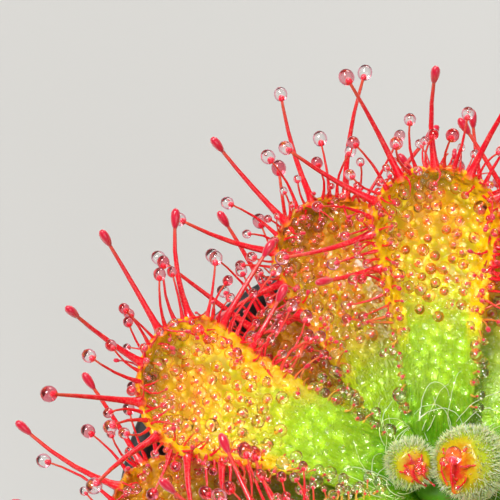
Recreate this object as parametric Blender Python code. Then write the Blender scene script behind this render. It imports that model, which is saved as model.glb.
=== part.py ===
"""Sundew plant in a small pot: a rosette of wedge-shaped leaves fringed with long tentacles.

Metres, +Z up. The origin is the centre of the pot's flat base.
"""

import math
import random

import bmesh
import bpy
from mathutils import Matrix, Vector

MM = 0.001

# Driving dimensions
CLEARANCE = 0.3 * MM
POT_HEIGHT = 32.0 * MM
POT_RIM_RADIUS = 20.0 * MM
POT_BASE_RADIUS = 14.5 * MM
POT_RIM_BAND = 5.0 * MM
POT_WALL = 1.2 * MM
POT_FLOOR = 1.5 * MM
DRAIN_HOLES = 4
DRAIN_RADIUS = 1.8 * MM
DRAIN_RING = 8.5 * MM
SOIL_TOP = 30.3 * MM
STEM_RADIUS = 2.0 * MM
STEM_TOP = 38.1 * MM
ROOT_TIP = 14.0 * MM
ROOT_RADIUS = 1.3 * MM

# A leaf, measured along its midrib from the stem
BASE_HALF_WIDTH = 1.0 * MM
BLADE_HALF_WIDTH = 4.0 * MM
WIDEST_AT = 0.78
FLANK_SHARE = 0.69
PETIOLE_CUP = 0.25 * MM
BLADE_CUP = 1.9 * MM
BASE_THICKNESS = 0.8 * MM
BLADE_THICKNESS = 0.55 * MM
MARGIN_THICKNESS = 0.42 * MM
ARCH_DEG = 9.0
TIP_CURL_DEG = 16.0
TIER_HEIGHT = 0.45 * MM
TOP_TIER = STEM_TOP - 0.9 * MM

# The long tentacles round a blade's margin
TENTACLES = 9
TENTACLE_SPAN = 0.44
TENTACLE_LENGTH = 7.2 * MM
TENTACLE_SHORTEST = 5.0 * MM
TENTACLE_BASE = 0.28 * MM
TENTACLE_NECK = 0.12 * MM
HEAD_RADIUS = 0.36 * MM
HEAD_LENGTH = 1.3 * MM
TENTACLE_LIFT = 0.20

# Name, direction round the stem, slope of the leaf, length, roll about its midrib, breadth.
# They go from the youngest and highest leaf to the oldest and lowest.
LEAVES = (
    ("leaf_01", 228, 28.5, 15.5, 4, 0.95),
    ("leaf_02", 92, 34.5, 17.5, 0, 1.0),
    ("leaf_03", 330, 31, 16.5, 0, 0.95),
    ("leaf_04", 168, 24.5, 18.8, -4, 1.1),
    ("leaf_05", 60, 24, 17.5, 0, 1.0),
    ("leaf_06", 260, 22, 17.5, 0, 1.0),
    ("leaf_07", 115, 17.5, 18.0, 4, 1.0),
    ("leaf_08", 0, 21, 18.5, 3, 1.0),
    ("leaf_09", 309, 13, 17.5, -4, 0.95),
    ("leaf_10", 186, 3, 18.3, 0, 1.0),
    ("leaf_11", 244, 13.5, 18.5, 0, 1.0),
    ("leaf_12", 130, 11, 14.6, 0, 0.95),
    ("leaf_13", 72, 7.5, 18.0, 0, 1.0),
    ("leaf_14", 333, 6, 18.0, 0, 1.0),
)

# Name, foot across and along the stem's top, radius, lean to the side of the two curled young leaves
YOUNG_LEAVES = (
    ("young_leaf_left", -0.9, -0.5, 1.35, -40),
    ("young_leaf_right", 0.7, -0.9, 2.05, 16),
)


def clear_scene():
    for obj in list(bpy.data.objects):
        bpy.data.objects.remove(obj)


def material(name, colour, roughness):
    made = bpy.data.materials.new(name)
    made.use_nodes = True
    shader = made.node_tree.nodes["Principled BSDF"]
    shader.inputs["Base Color"].default_value = (*colour, 1.0)
    shader.inputs["Roughness"].default_value = roughness
    shader.inputs["Metallic"].default_value = 0.0
    return made


def add_object(name, bm, finish, sharp_deg=40.0):
    mesh = bpy.data.meshes.new(name)
    bm.to_mesh(mesh)
    bm.free()
    mesh.materials.append(finish)
    mesh.shade_smooth()
    mesh.set_sharp_from_angle(angle=math.radians(sharp_deg))
    obj = bpy.data.objects.new(name, mesh)
    bpy.context.scene.collection.objects.link(obj)
    return obj


def lathe(name, profile, steps, finish, bump=None):
    """Turns a profile of (radius, height) points about Z. Its first and last points lie on the axis."""
    bm = bmesh.new()
    rings = []
    for index, (radius, height) in enumerate(profile):
        if radius == 0.0:
            rings.append([bm.verts.new((0.0, 0.0, height))])
            continue
        ring = []
        for step in range(steps):
            angle = 2.0 * math.pi * step / steps
            lift = bump(index, angle) if bump else 0.0
            ring.append(bm.verts.new((radius * math.cos(angle), radius * math.sin(angle), height + lift)))
        rings.append(ring)
    for low, high in zip(rings, rings[1:]):
        for step in range(steps):
            after = (step + 1) % steps
            if len(low) == 1:
                bm.faces.new((low[0], high[after], high[step]))
            elif len(high) == 1:
                bm.faces.new((low[step], low[after], high[0]))
            else:
                bm.faces.new((low[step], low[after], high[after], high[step]))
    bmesh.ops.recalc_face_normals(bm, faces=bm.faces)
    return add_object(name, bm, finish)


def pot_wall_radius(height):
    """The pot's outer radius below its rim band."""
    top = POT_RIM_RADIUS - 1.4 * MM
    share = min(height / (POT_HEIGHT - POT_RIM_BAND), 1.0)
    return POT_BASE_RADIUS + (top - POT_BASE_RADIUS) * share


def build_pot(finish):
    band_foot = POT_HEIGHT - POT_RIM_BAND
    edge = 0.5 * MM
    profile = [
        (0.0, 0.0),
        (POT_BASE_RADIUS - edge, 0.0),
        (POT_BASE_RADIUS, edge),
        (pot_wall_radius(band_foot), band_foot),
        (POT_RIM_RADIUS - edge, band_foot),
        (POT_RIM_RADIUS, band_foot + edge),
        (POT_RIM_RADIUS, POT_HEIGHT - edge),
        (POT_RIM_RADIUS - edge, POT_HEIGHT),
        (POT_RIM_RADIUS - POT_WALL - 0.3 * MM, POT_HEIGHT),
        (POT_RIM_RADIUS - POT_WALL - edge, POT_HEIGHT - edge),
        (pot_wall_radius(band_foot) - POT_WALL, band_foot),
        (pot_wall_radius(POT_FLOOR) - POT_WALL, POT_FLOOR),
        (0.0, POT_FLOOR),
    ]
    pot = lathe("pot", profile, 40, finish)
    for index in range(DRAIN_HOLES):
        angle = 2.0 * math.pi * (index + 0.5) / DRAIN_HOLES
        bm = bmesh.new()
        place = Matrix.Translation((DRAIN_RING * math.cos(angle), DRAIN_RING * math.sin(angle), 0.0))
        bmesh.ops.create_cone(
            bm, cap_ends=True, segments=14, radius1=DRAIN_RADIUS, radius2=DRAIN_RADIUS,
            depth=4.0 * POT_FLOOR, matrix=place,
        )
        cutter = add_object(f"drain_cutter_{index + 1}", bm, finish)
        cutter.hide_render = True
        cutter.display_type = "WIRE"
        cut = pot.modifiers.new(f"drain_{index + 1}", "BOOLEAN")
        cut.operation = "DIFFERENCE"
        cut.object = cutter


def build_soil(finish):
    """Peat that fills the pot to just under its rim, with the hole that the root grows down."""
    dice = random.Random(7)
    phases = [dice.uniform(0.0, 2.0 * math.pi) for _ in range(6)]

    def bump(index, angle):
        if index < 4 or index > 8:
            return 0.0
        wave = math.sin(3.0 * angle + phases[index % 6]) + 0.6 * math.sin(7.0 * angle + phases[(index + 2) % 6])
        return 0.22 * MM * wave

    band_foot = POT_HEIGHT - POT_RIM_BAND
    gap = POT_WALL + CLEARANCE
    hole = ROOT_RADIUS + CLEARANCE
    top_radius = POT_RIM_RADIUS - gap - 0.9 * MM
    profile = [
        (0.0, POT_FLOOR + CLEARANCE),
        (pot_wall_radius(POT_FLOOR) - gap - 0.2 * MM, POT_FLOOR + CLEARANCE),
        (pot_wall_radius(band_foot) - gap - 0.1 * MM, band_foot),
        (top_radius, SOIL_TOP - 0.8 * MM),
        (top_radius - 0.8 * MM, SOIL_TOP - 0.2 * MM),
        (14.0 * MM, SOIL_TOP),
        (9.5 * MM, SOIL_TOP + 0.1 * MM),
        (6.0 * MM, SOIL_TOP + 0.1 * MM),
        (3.2 * MM, SOIL_TOP),
        (hole + 0.3 * MM, SOIL_TOP - 0.3 * MM),
        (hole, SOIL_TOP - 1.2 * MM),
        (0.6 * ROOT_RADIUS + CLEARANCE, 20.0 * MM),
        (0.3 * ROOT_RADIUS + CLEARANCE, ROOT_TIP - CLEARANCE),
        (0.0, ROOT_TIP - 2.0 * CLEARANCE),
    ]
    return lathe("peat_soil", profile, 32, finish, bump)


def build_stem(finish):
    """The short stem that carries the leaves, and the tap root below it."""
    profile = [
        (0.0, ROOT_TIP),
        (0.3 * ROOT_RADIUS, ROOT_TIP + 0.4 * MM),
        (0.6 * ROOT_RADIUS, 20.0 * MM),
        (ROOT_RADIUS, SOIL_TOP - 1.2 * MM),
        (ROOT_RADIUS, SOIL_TOP + 0.2 * MM),
        (STEM_RADIUS, SOIL_TOP + 0.9 * MM),
        (STEM_RADIUS, STEM_TOP - 0.4 * MM),
        (0.75 * STEM_RADIUS, STEM_TOP),
        (0.0, STEM_TOP),
    ]
    return lathe("stem_and_root", profile, 16, finish)


def build_young_leaf(name, across, along, radius, lean, finish):
    """A young leaf still rolled into a ball, with a dimple on top where its edges meet, on a short foot."""
    ball, foot = radius * MM, 0.55 * MM
    neck = math.asin(foot / ball)
    centre = 0.6 * MM + ball * math.cos(neck)
    profile = [(0.0, 0.0), (foot, 0.0)]
    turns = 9
    for step in range(turns + 1):
        angle = neck + (math.pi * 0.86 - neck) * step / turns
        profile.append((ball * math.sin(angle), centre - ball * math.cos(angle)))
    profile.append((0.2 * ball, centre + 0.74 * ball))
    profile.append((0.0, centre + 0.62 * ball))
    obj = lathe(name, profile, 18, finish)
    tilt = math.radians(lean)
    obj.location = (across * MM, along * MM, STEM_TOP + CLEARANCE + foot * abs(math.sin(tilt)))
    obj.rotation_euler = (0.0, tilt, 0.0)
    return obj


def half_width(share):
    """The blade's half width at a share of its length: a wedge that ends in a round tip."""
    x = min(share / WIDEST_AT, 1.0)
    start = min(x / 0.15, 1.0)
    grown = 0.25 * start * start * (3.0 - 2.0 * start) + 0.75 * x ** 1.5
    width = BASE_HALF_WIDTH + (BLADE_HALF_WIDTH - BASE_HALF_WIDTH) * grown
    if share > WIDEST_AT:
        width *= math.sqrt(max(0.0, 1.0 - ((share - WIDEST_AT) / (1.0 - WIDEST_AT)) ** 2))
    return width


def margin_plan(q):
    """The margin in plan as (share along, distance across), q going 0 to 2 from the base round the tip and back."""
    side = 1.0 if q <= 1.0 else -1.0
    q = q if q <= 1.0 else 2.0 - q
    if q < FLANK_SHARE:
        share = WIDEST_AT * q / FLANK_SHARE
        return share, side * half_width(share)
    turn = 0.5 * math.pi * (1.0 - (q - FLANK_SHARE) / (1.0 - FLANK_SHARE))
    return WIDEST_AT + (1.0 - WIDEST_AT) * math.cos(turn), side * BLADE_HALF_WIDTH * math.sin(turn)


def midrib_share(share, across):
    """Where the midrib meets the line that runs in from a point of the margin."""
    if share <= WIDEST_AT:
        return share
    return WIDEST_AT + 0.5 * (share - WIDEST_AT) * (1.0 - abs(across) / BLADE_HALF_WIDTH)


class Leaf:
    """Places points of one leaf: along the midrib's curve, across it, and above its surface."""

    STEPS = 40

    def __init__(self, tier, direction, slope, length, roll, breadth):
        self.length = length * MM
        self.breadth = breadth
        self.slope = slope
        turn = Matrix.Rotation(math.radians(direction), 3, "Z")
        self.outward = turn @ Vector((1.0, 0.0, 0.0))
        self.across = turn @ Vector((0.0, 1.0, 0.0))
        self.up = Vector((0.0, 0.0, 1.0))
        self.roll = math.radians(roll)
        root = STEM_RADIUS + CLEARANCE
        self.points = [(root, TOP_TIER - tier * TIER_HEIGHT)]
        for step in range(self.STEPS):
            angle = self.angle((step + 0.5) / self.STEPS)
            last = self.points[-1]
            run = self.length / self.STEPS
            self.points.append((last[0] + run * math.cos(angle), last[1] + run * math.sin(angle)))

    def angle(self, share):
        arch = ARCH_DEG * (1.0 - 2.0 * min(share / 0.6, 1.0))
        curl = TIP_CURL_DEG * max(0.0, share - 0.6) / 0.4
        return math.radians(self.slope + arch + curl)

    def place(self, share, across, height):
        at = min(max(share, 0.0), 1.0) * self.STEPS
        low = min(int(at), self.STEPS - 1)
        part = at - low
        radial = self.points[low][0] * (1.0 - part) + self.points[low + 1][0] * part
        rise = self.points[low][1] * (1.0 - part) + self.points[low + 1][1] * part
        angle = self.angle(share)
        along = self.outward * math.cos(angle) + self.up * math.sin(angle)
        normal = self.up * math.cos(angle) - self.outward * math.sin(angle)
        rolled = self.roll * min(max(share, 0.0), 1.0)
        side = self.across * math.cos(rolled) + normal * math.sin(rolled)
        normal = normal * math.cos(rolled) - self.across * math.sin(rolled)
        spot = self.outward * radial + self.up * rise
        if share > 1.0:
            spot += along * ((share - 1.0) * self.length)
        return spot + side * across + normal * height

    def surface(self, q, inward, depth):
        """A point of the leaf: inward goes from the midrib (0) to the margin (1), depth from the top (0) to the underside (1)."""
        share, across = margin_plan(q)
        middle = midrib_share(share, across)
        along = middle + (share - middle) * inward
        blade = min(share / WIDEST_AT, 1.0) ** 2
        cup = PETIOLE_CUP + (BLADE_CUP - PETIOLE_CUP) * blade
        thick = BASE_THICKNESS + (BLADE_THICKNESS - BASE_THICKNESS) * min(share / 0.5, 1.0)
        thick += (MARGIN_THICKNESS - thick) * inward
        return self.place(along, across * inward * self.breadth, cup * inward ** 2.2 - depth * thick)


def tentacle_stations():
    """Where the long tentacles stand on the margin, and how long each is."""
    stations = []
    for index in range(TENTACLES):
        offset = TENTACLE_SPAN * (2.0 * index / (TENTACLES - 1) - 1.0)
        reach = 1.0 - abs(offset) / TENTACLE_SPAN
        length = TENTACLE_SHORTEST + (TENTACLE_LENGTH - TENTACLE_SHORTEST) * reach ** 0.6
        stations.append((1.0 + offset, length * (1.0 + 0.08 * math.cos(2.4 * index))))
    return stations


def grow_tentacle(bm, face, leaf, q, length):
    """Draws one long tentacle out of a face of the margin: a tapered stalk, a thin neck and a flattened head."""
    centre = face.calc_center_median()
    along = leaf.surface(q + 0.01, 1.0, 0.5) - leaf.surface(q - 0.01, 1.0, 0.5)
    along.normalize()
    up = leaf.surface(q, 1.0, 0.0) - leaf.surface(q, 1.0, 1.0)
    up = (up - along * up.dot(along)).normalized()
    out = up.cross(along)
    if out.dot(centre - leaf.surface(q, 0.5, 0.5)) < 0.0:
        out = -out
    tip_of_leaf = leaf.surface(1.0, 1.0, 0.5) - leaf.surface(1.0, 0.6, 0.5)
    out = (out + 0.25 * tip_of_leaf.normalized()).normalized()
    signs = [
        (math.copysign(1.0, (v.co - centre).dot(along)), math.copysign(1.0, (v.co - centre).dot(up)))
        for v in face.verts
    ]
    stalk = length - HEAD_LENGTH
    rings = (
        (0.12 * stalk, TENTACLE_BASE, TENTACLE_BASE),
        (0.55 * stalk, 0.65 * TENTACLE_BASE, 0.65 * TENTACLE_BASE),
        (stalk, TENTACLE_NECK, TENTACLE_NECK),
        (stalk + 0.55 * HEAD_LENGTH, HEAD_RADIUS, 0.75 * HEAD_RADIUS),
        (stalk + HEAD_LENGTH, 0.4 * HEAD_RADIUS, 0.3 * HEAD_RADIUS),
    )
    for reach, wide, high in rings:
        face = bmesh.ops.extrude_discrete_faces(bm, faces=[face])["faces"][0]
        spot = centre + out * reach + up * (TENTACLE_LIFT * reach * reach / length)
        for vert, (side, top) in zip(face.verts, signs):
            vert.co = spot + along * (side * wide) + up * (top * high)


def build_leaf(name, tier, shape, finish):
    leaf = Leaf(tier, *shape)
    foot = 0.24 * MM / leaf.length
    tentacles = tentacle_stations()
    stations = [0.0, 0.12, 0.25, 0.38]
    stations += [2.0 - q for q in stations]
    for q, _ in tentacles:
        stations += [q - foot, q + foot]
    stations += [(a[0] + b[0]) / 2.0 for a, b in zip(tentacles, tentacles[1:])]
    stations.sort()
    bm = bmesh.new()
    middles = {}

    def middle_vert(q, depth):
        """Both sides of a leaf share the points of its midrib."""
        key = (round(min(q, 2.0 - q), 6), depth)
        if key not in middles:
            middles[key] = bm.verts.new(leaf.surface(q, 0.0, depth))
        return middles[key]

    rows = []
    for q in stations:
        top = [middle_vert(q, 0.0), bm.verts.new(leaf.surface(q, 0.55, 0.0)), bm.verts.new(leaf.surface(q, 1.0, 0.0))]
        low = [middle_vert(q, 1.0), bm.verts.new(leaf.surface(q, 0.55, 1.0)), bm.verts.new(leaf.surface(q, 1.0, 1.0))]
        rows.append(top + low[::-1])
    rims = []
    for here, after in zip(rows, rows[1:]):
        for k in range(5):
            corners = []
            for vert in (here[k], here[k + 1], after[k + 1], after[k]):
                if vert not in corners:
                    corners.append(vert)
            if len(corners) > 2:
                made = bm.faces.new(corners)
                if k == 2:
                    rims.append(made)
    first, last = rows[0], rows[-1]
    bm.faces.new(first[0:3] + first[3:6] + last[4:2:-1] + last[2:0:-1])
    bmesh.ops.recalc_face_normals(bm, faces=bm.faces)
    for q, reach in tentacles:
        index = stations.index(q - foot)
        grow_tentacle(bm, rims[index], leaf, q, reach)
    bmesh.ops.recalc_face_normals(bm, faces=bm.faces)
    return add_object(name, bm, finish, 60.0)


def main():
    clear_scene()
    plastic = material("pot_plastic", (0.02, 0.02, 0.022), 0.45)
    peat = material("peat", (0.06, 0.028, 0.015), 0.95)
    green = material("stem_green", (0.16, 0.40, 0.02), 0.5)
    blade = material("leaf_green_and_red", (0.45, 0.52, 0.02), 0.35)
    fuzz = material("young_leaf_fuzz", (0.45, 0.60, 0.22), 0.8)
    build_pot(plastic)
    build_soil(peat)
    build_stem(green)
    for name, across, along, radius, lean in YOUNG_LEAVES:
        build_young_leaf(name, across, along, radius, lean, fuzz)
    for tier, (name, *shape) in enumerate(LEAVES):
        build_leaf(name, tier, shape, blade)


main()
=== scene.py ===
"""Finishes the sundew plant for rendering: dewy leaves and tentacles, curled young leaves, peat and pot.

Everything is in metres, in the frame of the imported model.
"""

import math
import random

import bmesh
import bpy
import numpy as np
from bpy.props import FloatProperty, FloatVectorProperty, IntProperty, PointerProperty
from mathutils import Matrix, Vector, noise


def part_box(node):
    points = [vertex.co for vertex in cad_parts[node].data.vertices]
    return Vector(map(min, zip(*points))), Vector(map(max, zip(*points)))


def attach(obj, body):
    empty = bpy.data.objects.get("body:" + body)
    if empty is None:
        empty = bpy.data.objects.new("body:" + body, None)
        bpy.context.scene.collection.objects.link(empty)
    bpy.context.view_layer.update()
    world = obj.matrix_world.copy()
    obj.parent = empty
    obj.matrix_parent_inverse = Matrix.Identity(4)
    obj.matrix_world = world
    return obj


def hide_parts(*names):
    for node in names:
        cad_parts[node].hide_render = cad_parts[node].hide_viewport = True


bl_info = {
    "name": "Sundew plant",
    "version": (1, 0, 0),
    "blender": (4, 5, 0),
    "location": "3D View > Sidebar > Sundew",
    "description": "Builds the visible pieces of a sundew plant in its pot",
    "category": "Add Mesh",
}

MM = 0.001

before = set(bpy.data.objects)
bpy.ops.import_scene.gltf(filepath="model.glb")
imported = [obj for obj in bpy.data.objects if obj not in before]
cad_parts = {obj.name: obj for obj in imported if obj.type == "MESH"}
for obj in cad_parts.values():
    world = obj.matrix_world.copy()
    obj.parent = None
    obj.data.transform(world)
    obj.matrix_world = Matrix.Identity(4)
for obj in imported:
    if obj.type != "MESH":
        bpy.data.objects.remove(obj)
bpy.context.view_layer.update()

# The model's own measures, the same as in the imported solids
STEM_RADIUS = 2.0 * MM
STEM_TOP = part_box("stem_and_root")[1].z
CLEARANCE = 0.3 * MM
TOP_TIER = STEM_TOP - 0.9 * MM
TIER_HEIGHT = 0.45 * MM
WIDEST_AT = 0.78
FLANK_SHARE = 0.69
BASE_HALF_WIDTH = 1.0 * MM
POT_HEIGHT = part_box("pot")[1].z
POT_RIM_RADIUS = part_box("pot")[1].x
POT_BASE_RADIUS = 14.5 * MM
POT_RIM_BAND = 5.0 * MM
POT_RIM_STEP = 1.4 * MM
POT_WALL = 1.2 * MM
POT_FLOOR = 1.5 * MM
DRAIN_RADIUS = 1.8 * MM
DRAIN_RING = 8.5 * MM
SOIL_TOP = 30.3 * MM

# Node, direction round the stem, slope, length, roll about the midrib, breadth, age (0 young to 1 old)
LEAVES = (
    ("leaf_01", 228, 28.5, 15.5, 4, 0.95, 0.0),
    ("leaf_02", 92, 34.5, 17.5, 0, 1.0, 0.0),
    ("leaf_03", 330, 31, 16.5, 0, 0.95, 0.1),
    ("leaf_04", 168, 24.5, 18.8, -4, 1.1, 0.0),
    ("leaf_05", 60, 24, 17.5, 0, 1.0, 0.15),
    ("leaf_06", 260, 22, 17.5, 0, 1.0, 0.15),
    ("leaf_07", 115, 17.5, 18.0, 4, 1.0, 0.6),
    ("leaf_08", 0, 21, 18.5, 3, 1.0, 0.25),
    ("leaf_09", 309, 13, 17.5, -4, 0.95, 0.45),
    ("leaf_10", 186, 3, 18.3, 0, 1.0, 0.7),
    ("leaf_11", 244, 13.5, 18.5, 0, 1.0, 0.5),
    ("leaf_12", 130, 11, 14.6, 0, 0.95, 0.75),
    ("leaf_13", 72, 7.5, 18.0, 0, 1.0, 0.85),
    ("leaf_14", 333, 6, 18.0, 0, 1.0, 0.9),
)

# Node, foot across and along, radius, lean to the side, direction that its open face looks in
YOUNG_LEAVES = (
    ("young_leaf_left", -0.9, -0.5, 1.35, -40, (0.14, -0.66, 0.76)),
    ("young_leaf_right", 0.7, -0.9, 2.05, 16, (-0.60, -0.42, 0.70)),
)

# Colours that the finishes mix with those of the settings
PALE_STREAK = (0.50, 0.68, 0.03, 1.0)
# Painted shade: darkens the grooves between a blade's swellings towards brown
PAINTED_GROOVE_SHADE = (0.62, 0.42, 0.12, 1.0)
# Painted light: yellows the tops of a blade's swellings
PAINTED_CROWN_LIGHT = (1.0, 0.76, 0.06, 1.0)
# Painted glints of wet, as pale dots on the lower blade and the leaf stalk
PAINTED_WET_GLINT = (0.92, 1.0, 0.62, 1.0)
LOW_ROOT_GREEN = (0.45, 0.55, 0.02, 1.0)
ROOT_ORANGE = (1.0, 0.34, 0.0, 1.0)
LOW_STALK_OCHRE = (0.72, 0.46, 0.05, 1.0)
STALK_BLOTCH = (1.0, 0.16, 0.12, 1.0)
# Painted sheen: pink towards the rim of a tentacle's head
PAINTED_HEAD_SHEEN = (0.98, 0.26, 0.26, 1.0)
CLEAR_WATER = (1.0, 0.99, 0.98, 1.0)
# Painted rim colours of the dew, standing in for what a drop refracts at its edge
PAINTED_GREEN_RIM = (0.74, 0.88, 0.42, 1.0)
PAINTED_AMBER_RIM = (1.0, 0.42, 0.14, 1.0)
PAINTED_PINK_RIM = (1.0, 0.10, 0.22, 1.0)
RUBY = (0.86, 0.07, 0.13, 1.0)
YOUNG_LEAF_OUTSIDE = (0.24, 0.42, 0.01, 1.0)
YOUNG_LEAF_TONES = (
    (0.25, 0.62, (0.46, 0.56, 0.01, 1.0)),
    (0.60, 0.88, (0.68, 0.46, 0.0, 1.0)),
    (0.80, 0.97, (0.64, 0.13, 0.0, 1.0)),
    (0.88, 1.0, (0.66, 0.005, 0.01, 1.0)),
)
WHITISH_HAIR = (1.0, 1.0, 0.78, 1.0)
PALER_PEAT = (0.150, 0.062, 0.030, 1.0)
FIBRE_BROWN = (0.26, 0.13, 0.06, 1.0)
POT_DUST = (0.045, 0.042, 0.040, 1.0)
SCAR_BROWN = (0.24, 0.15, 0.03, 1.0)
FLOOR_GREYS = ((0.58, 0.58, 0.57, 1.0), (0.62, 0.62, 0.61, 1.0))
STUDIO_LOW = (0.42, 0.44, 0.47, 1.0)
STUDIO_HIGH = (1.0, 1.0, 1.0, 1.0)


class SundewLeafSettings(bpy.types.PropertyGroup):
    """Sizes of the leaves and of the short glands on them."""

    blade_half_width: FloatProperty(
        name="Blade Half Width", description="Half the width of a blade where it is widest",
        default=4.0 * MM, unit="LENGTH", precision=5,
    )
    cup: FloatProperty(
        name="Cup", description="How far the blade's margin stands above its midrib",
        default=1.9 * MM, unit="LENGTH", precision=5,
    )
    waviness: FloatProperty(
        name="Waviness", description="How far a blade's surface swells and sinks",
        default=0.10 * MM, unit="LENGTH", precision=5,
    )
    gland_spacing: FloatProperty(
        name="Gland Spacing", description="Least distance between two short glands on a blade",
        default=0.66 * MM, unit="LENGTH", precision=5,
    )
    gland_drop: FloatProperty(
        name="Drop on a Gland", description="Radius of the dew drop on a short gland",
        default=0.40 * MM, unit="LENGTH", precision=5,
    )
    petiole_drop: FloatProperty(
        name="Drop on a Leaf Stalk", description="Radius of the larger clear drops low on a leaf",
        default=0.42 * MM, unit="LENGTH", precision=5,
    )


class SundewTentacleSettings(bpy.types.PropertyGroup):
    """Sizes of the long tentacles round the blades."""

    longest: FloatProperty(
        name="Longest", description="Length of the tentacles at a leaf's tip",
        default=7.2 * MM, unit="LENGTH", precision=5,
    )
    shortest: FloatProperty(
        name="Shortest", description="Length of the long tentacles beside the blade",
        default=5.0 * MM, unit="LENGTH", precision=5,
    )
    root_radius: FloatProperty(
        name="Root Radius", description="Radius of a long tentacle just above its root",
        default=0.23 * MM, unit="LENGTH", precision=5,
    )
    neck_radius: FloatProperty(
        name="Neck Radius", description="Radius of a long tentacle just under its head",
        default=0.095 * MM, unit="LENGTH", precision=5,
    )
    head_radius: FloatProperty(
        name="Head Radius", description="Half the width of a long tentacle's head",
        default=0.37 * MM, unit="LENGTH", precision=5,
    )
    head_length: FloatProperty(
        name="Head Length", description="Length of a long tentacle's head",
        default=1.35 * MM, unit="LENGTH", precision=5,
    )
    dew_radius: FloatProperty(
        name="Dew Radius", description="Radius of the dew drop on a tentacle that carries one",
        default=0.42 * MM, unit="LENGTH", precision=5,
    )
    sides: IntProperty(name="Sides", description="Sides of a tentacle's stalk", default=7, min=3)


class SundewColourSettings(bpy.types.PropertyGroup):
    """Colours of the plant, the peat and the pot."""

    deep_green: FloatVectorProperty(
        name="Leaf Stalk Base", description="Green at the foot of a leaf",
        default=(0.10, 0.34, 0.004), subtype="COLOR",
    )
    lime: FloatVectorProperty(
        name="Leaf Stalk", description="Bright green of the leaf stalk",
        default=(0.30, 0.52, 0.006), subtype="COLOR",
    )
    yellow_green: FloatVectorProperty(
        name="Lower Blade", description="Yellow-green where the blade begins",
        default=(0.62, 0.62, 0.008), subtype="COLOR",
    )
    gold: FloatVectorProperty(
        name="Blade Hollow", description="Gold in the hollow of the blade",
        default=(0.74, 0.46, 0.006), subtype="COLOR",
    )
    yellow: FloatVectorProperty(
        name="Margin", description="Yellow of the blade's rim",
        default=(0.98, 0.58, 0.0), subtype="COLOR",
    )
    orange: FloatVectorProperty(
        name="Tentacle Roots", description="Orange where the tentacles leave the rim",
        default=(1.0, 0.17, 0.0), subtype="COLOR",
    )
    aged: FloatVectorProperty(
        name="Old Leaf", description="Brownish red of the oldest blades",
        default=(0.42, 0.07, 0.01), subtype="COLOR",
    )
    red: FloatVectorProperty(
        name="Stalk", description="Red of a tentacle's stalk",
        default=(0.88, 0.0, 0.016), subtype="COLOR",
    )
    neck: FloatVectorProperty(
        name="Neck", description="Orange-pink under a tentacle's head",
        default=(0.78, 0.10, 0.04), subtype="COLOR",
    )
    crimson: FloatVectorProperty(
        name="Head", description="Crimson of a tentacle's head",
        default=(0.74, 0.012, 0.05), subtype="COLOR",
    )
    fuzz: FloatVectorProperty(
        name="Fuzz", description="Pale green of the young leaves' hairs",
        default=(0.82, 0.96, 0.26), subtype="COLOR",
    )
    peat: FloatVectorProperty(
        name="Peat", description="Dark reddish brown of the peat",
        default=(0.060, 0.022, 0.012), subtype="COLOR",
    )
    pot: FloatVectorProperty(
        name="Pot", description="Charcoal of the pot",
        default=(0.018, 0.018, 0.020), subtype="COLOR",
    )


# Socket types of the node groups

GEOMETRY = "NodeSocketGeometry"
FLOAT = "NodeSocketFloat"
INT = "NodeSocketInt"
SWITCH = "NodeSocketBool"
STRING = "NodeSocketString"
FINISH = "NodeSocketMaterial"


class Wiring:
    """Adds nodes to one tree, and links or sets their inputs."""

    TREE = "ShaderNodeTree"

    def __init__(self, tree):
        self.tree = tree

    def link(self, source, node, socket):
        self.tree.links.new(source, node.inputs[socket])

    def add(self, kind, feeds=(), **settings):
        """A new node with its settings. Each feed is a value for an input, or a socket to link to it."""
        made = self.tree.nodes.new(kind)
        for name, value in settings.items():
            setattr(made, name, value)
        for key, value in dict(feeds).items():
            if isinstance(value, bpy.types.NodeSocket):
                self.link(value, made, key)
            else:
                made.inputs[key].default_value = value
        return made

    def maths(self, operation, *values):
        return self.add("ShaderNodeMath", dict(enumerate(values)), operation=operation).outputs[0]

    def times(self, first, second):
        return self.maths("MULTIPLY", first, second)

    def vector(self, operation, *values):
        feeds = dict(enumerate(values))
        if operation == "SCALE":
            feeds = {0: values[0], "Scale": values[1]}
        return self.add("ShaderNodeVectorMath", feeds, operation=operation).outputs[0]

    def xyz(self, x, y, z):
        return self.add("ShaderNodeCombineXYZ", {0: x, 1: y, 2: z}).outputs[0]

    def z_of(self, vector):
        return self.add("ShaderNodeSeparateXYZ", {0: vector}).outputs[2]

    def mix(self, share, first, second):
        return self.add("ShaderNodeMix", {0: share, 2: first, 3: second}, data_type="FLOAT").outputs[0]

    def blend(self, share, first, second, how="MIX"):
        """Mixes two colours."""
        feeds = {0: share, 6: first, 7: second}
        return self.add("ShaderNodeMix", feeds, data_type="RGBA", blend_type=how).outputs[2]

    def spread(self, value, low, high, to_low=0.0, to_high=1.0, smooth=True):
        """Turns the range from low to high into that from to_low to to_high, and holds it beyond."""
        feeds = {0: value, 1: low, 2: high, 3: to_low, 4: to_high}
        shape = "SMOOTHSTEP" if smooth else "LINEAR"
        return self.add("ShaderNodeMapRange", feeds, interpolation_type=shape).outputs[0]


class ShaderWiring(Wiring):
    """Adds the nodes that the materials share."""

    def place(self):
        return self.add("ShaderNodeTexCoord").outputs["Object"]

    def noise(self, place, scale, detail, output="Fac"):
        feeds = {"Vector": place, "Scale": scale, "Detail": detail}
        return self.add("ShaderNodeTexNoise", feeds).outputs[output]

    def value(self, name):
        """A named value that the piece's mesh carries."""
        return self.add("ShaderNodeAttribute", attribute_name=name).outputs["Fac"]

    def group(self, group, **values):
        made = self.add("ShaderNodeGroup", node_tree=group)
        for label, value in values.items():
            made.inputs[label.replace("_", " ")].default_value = value
        return made

    def bump(self, shader, height, strength, distance):
        made = self.add("ShaderNodeBump", {"Height": height, "Strength": strength, "Distance": distance})
        self.link(made.outputs[0], shader, "Normal")


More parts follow.
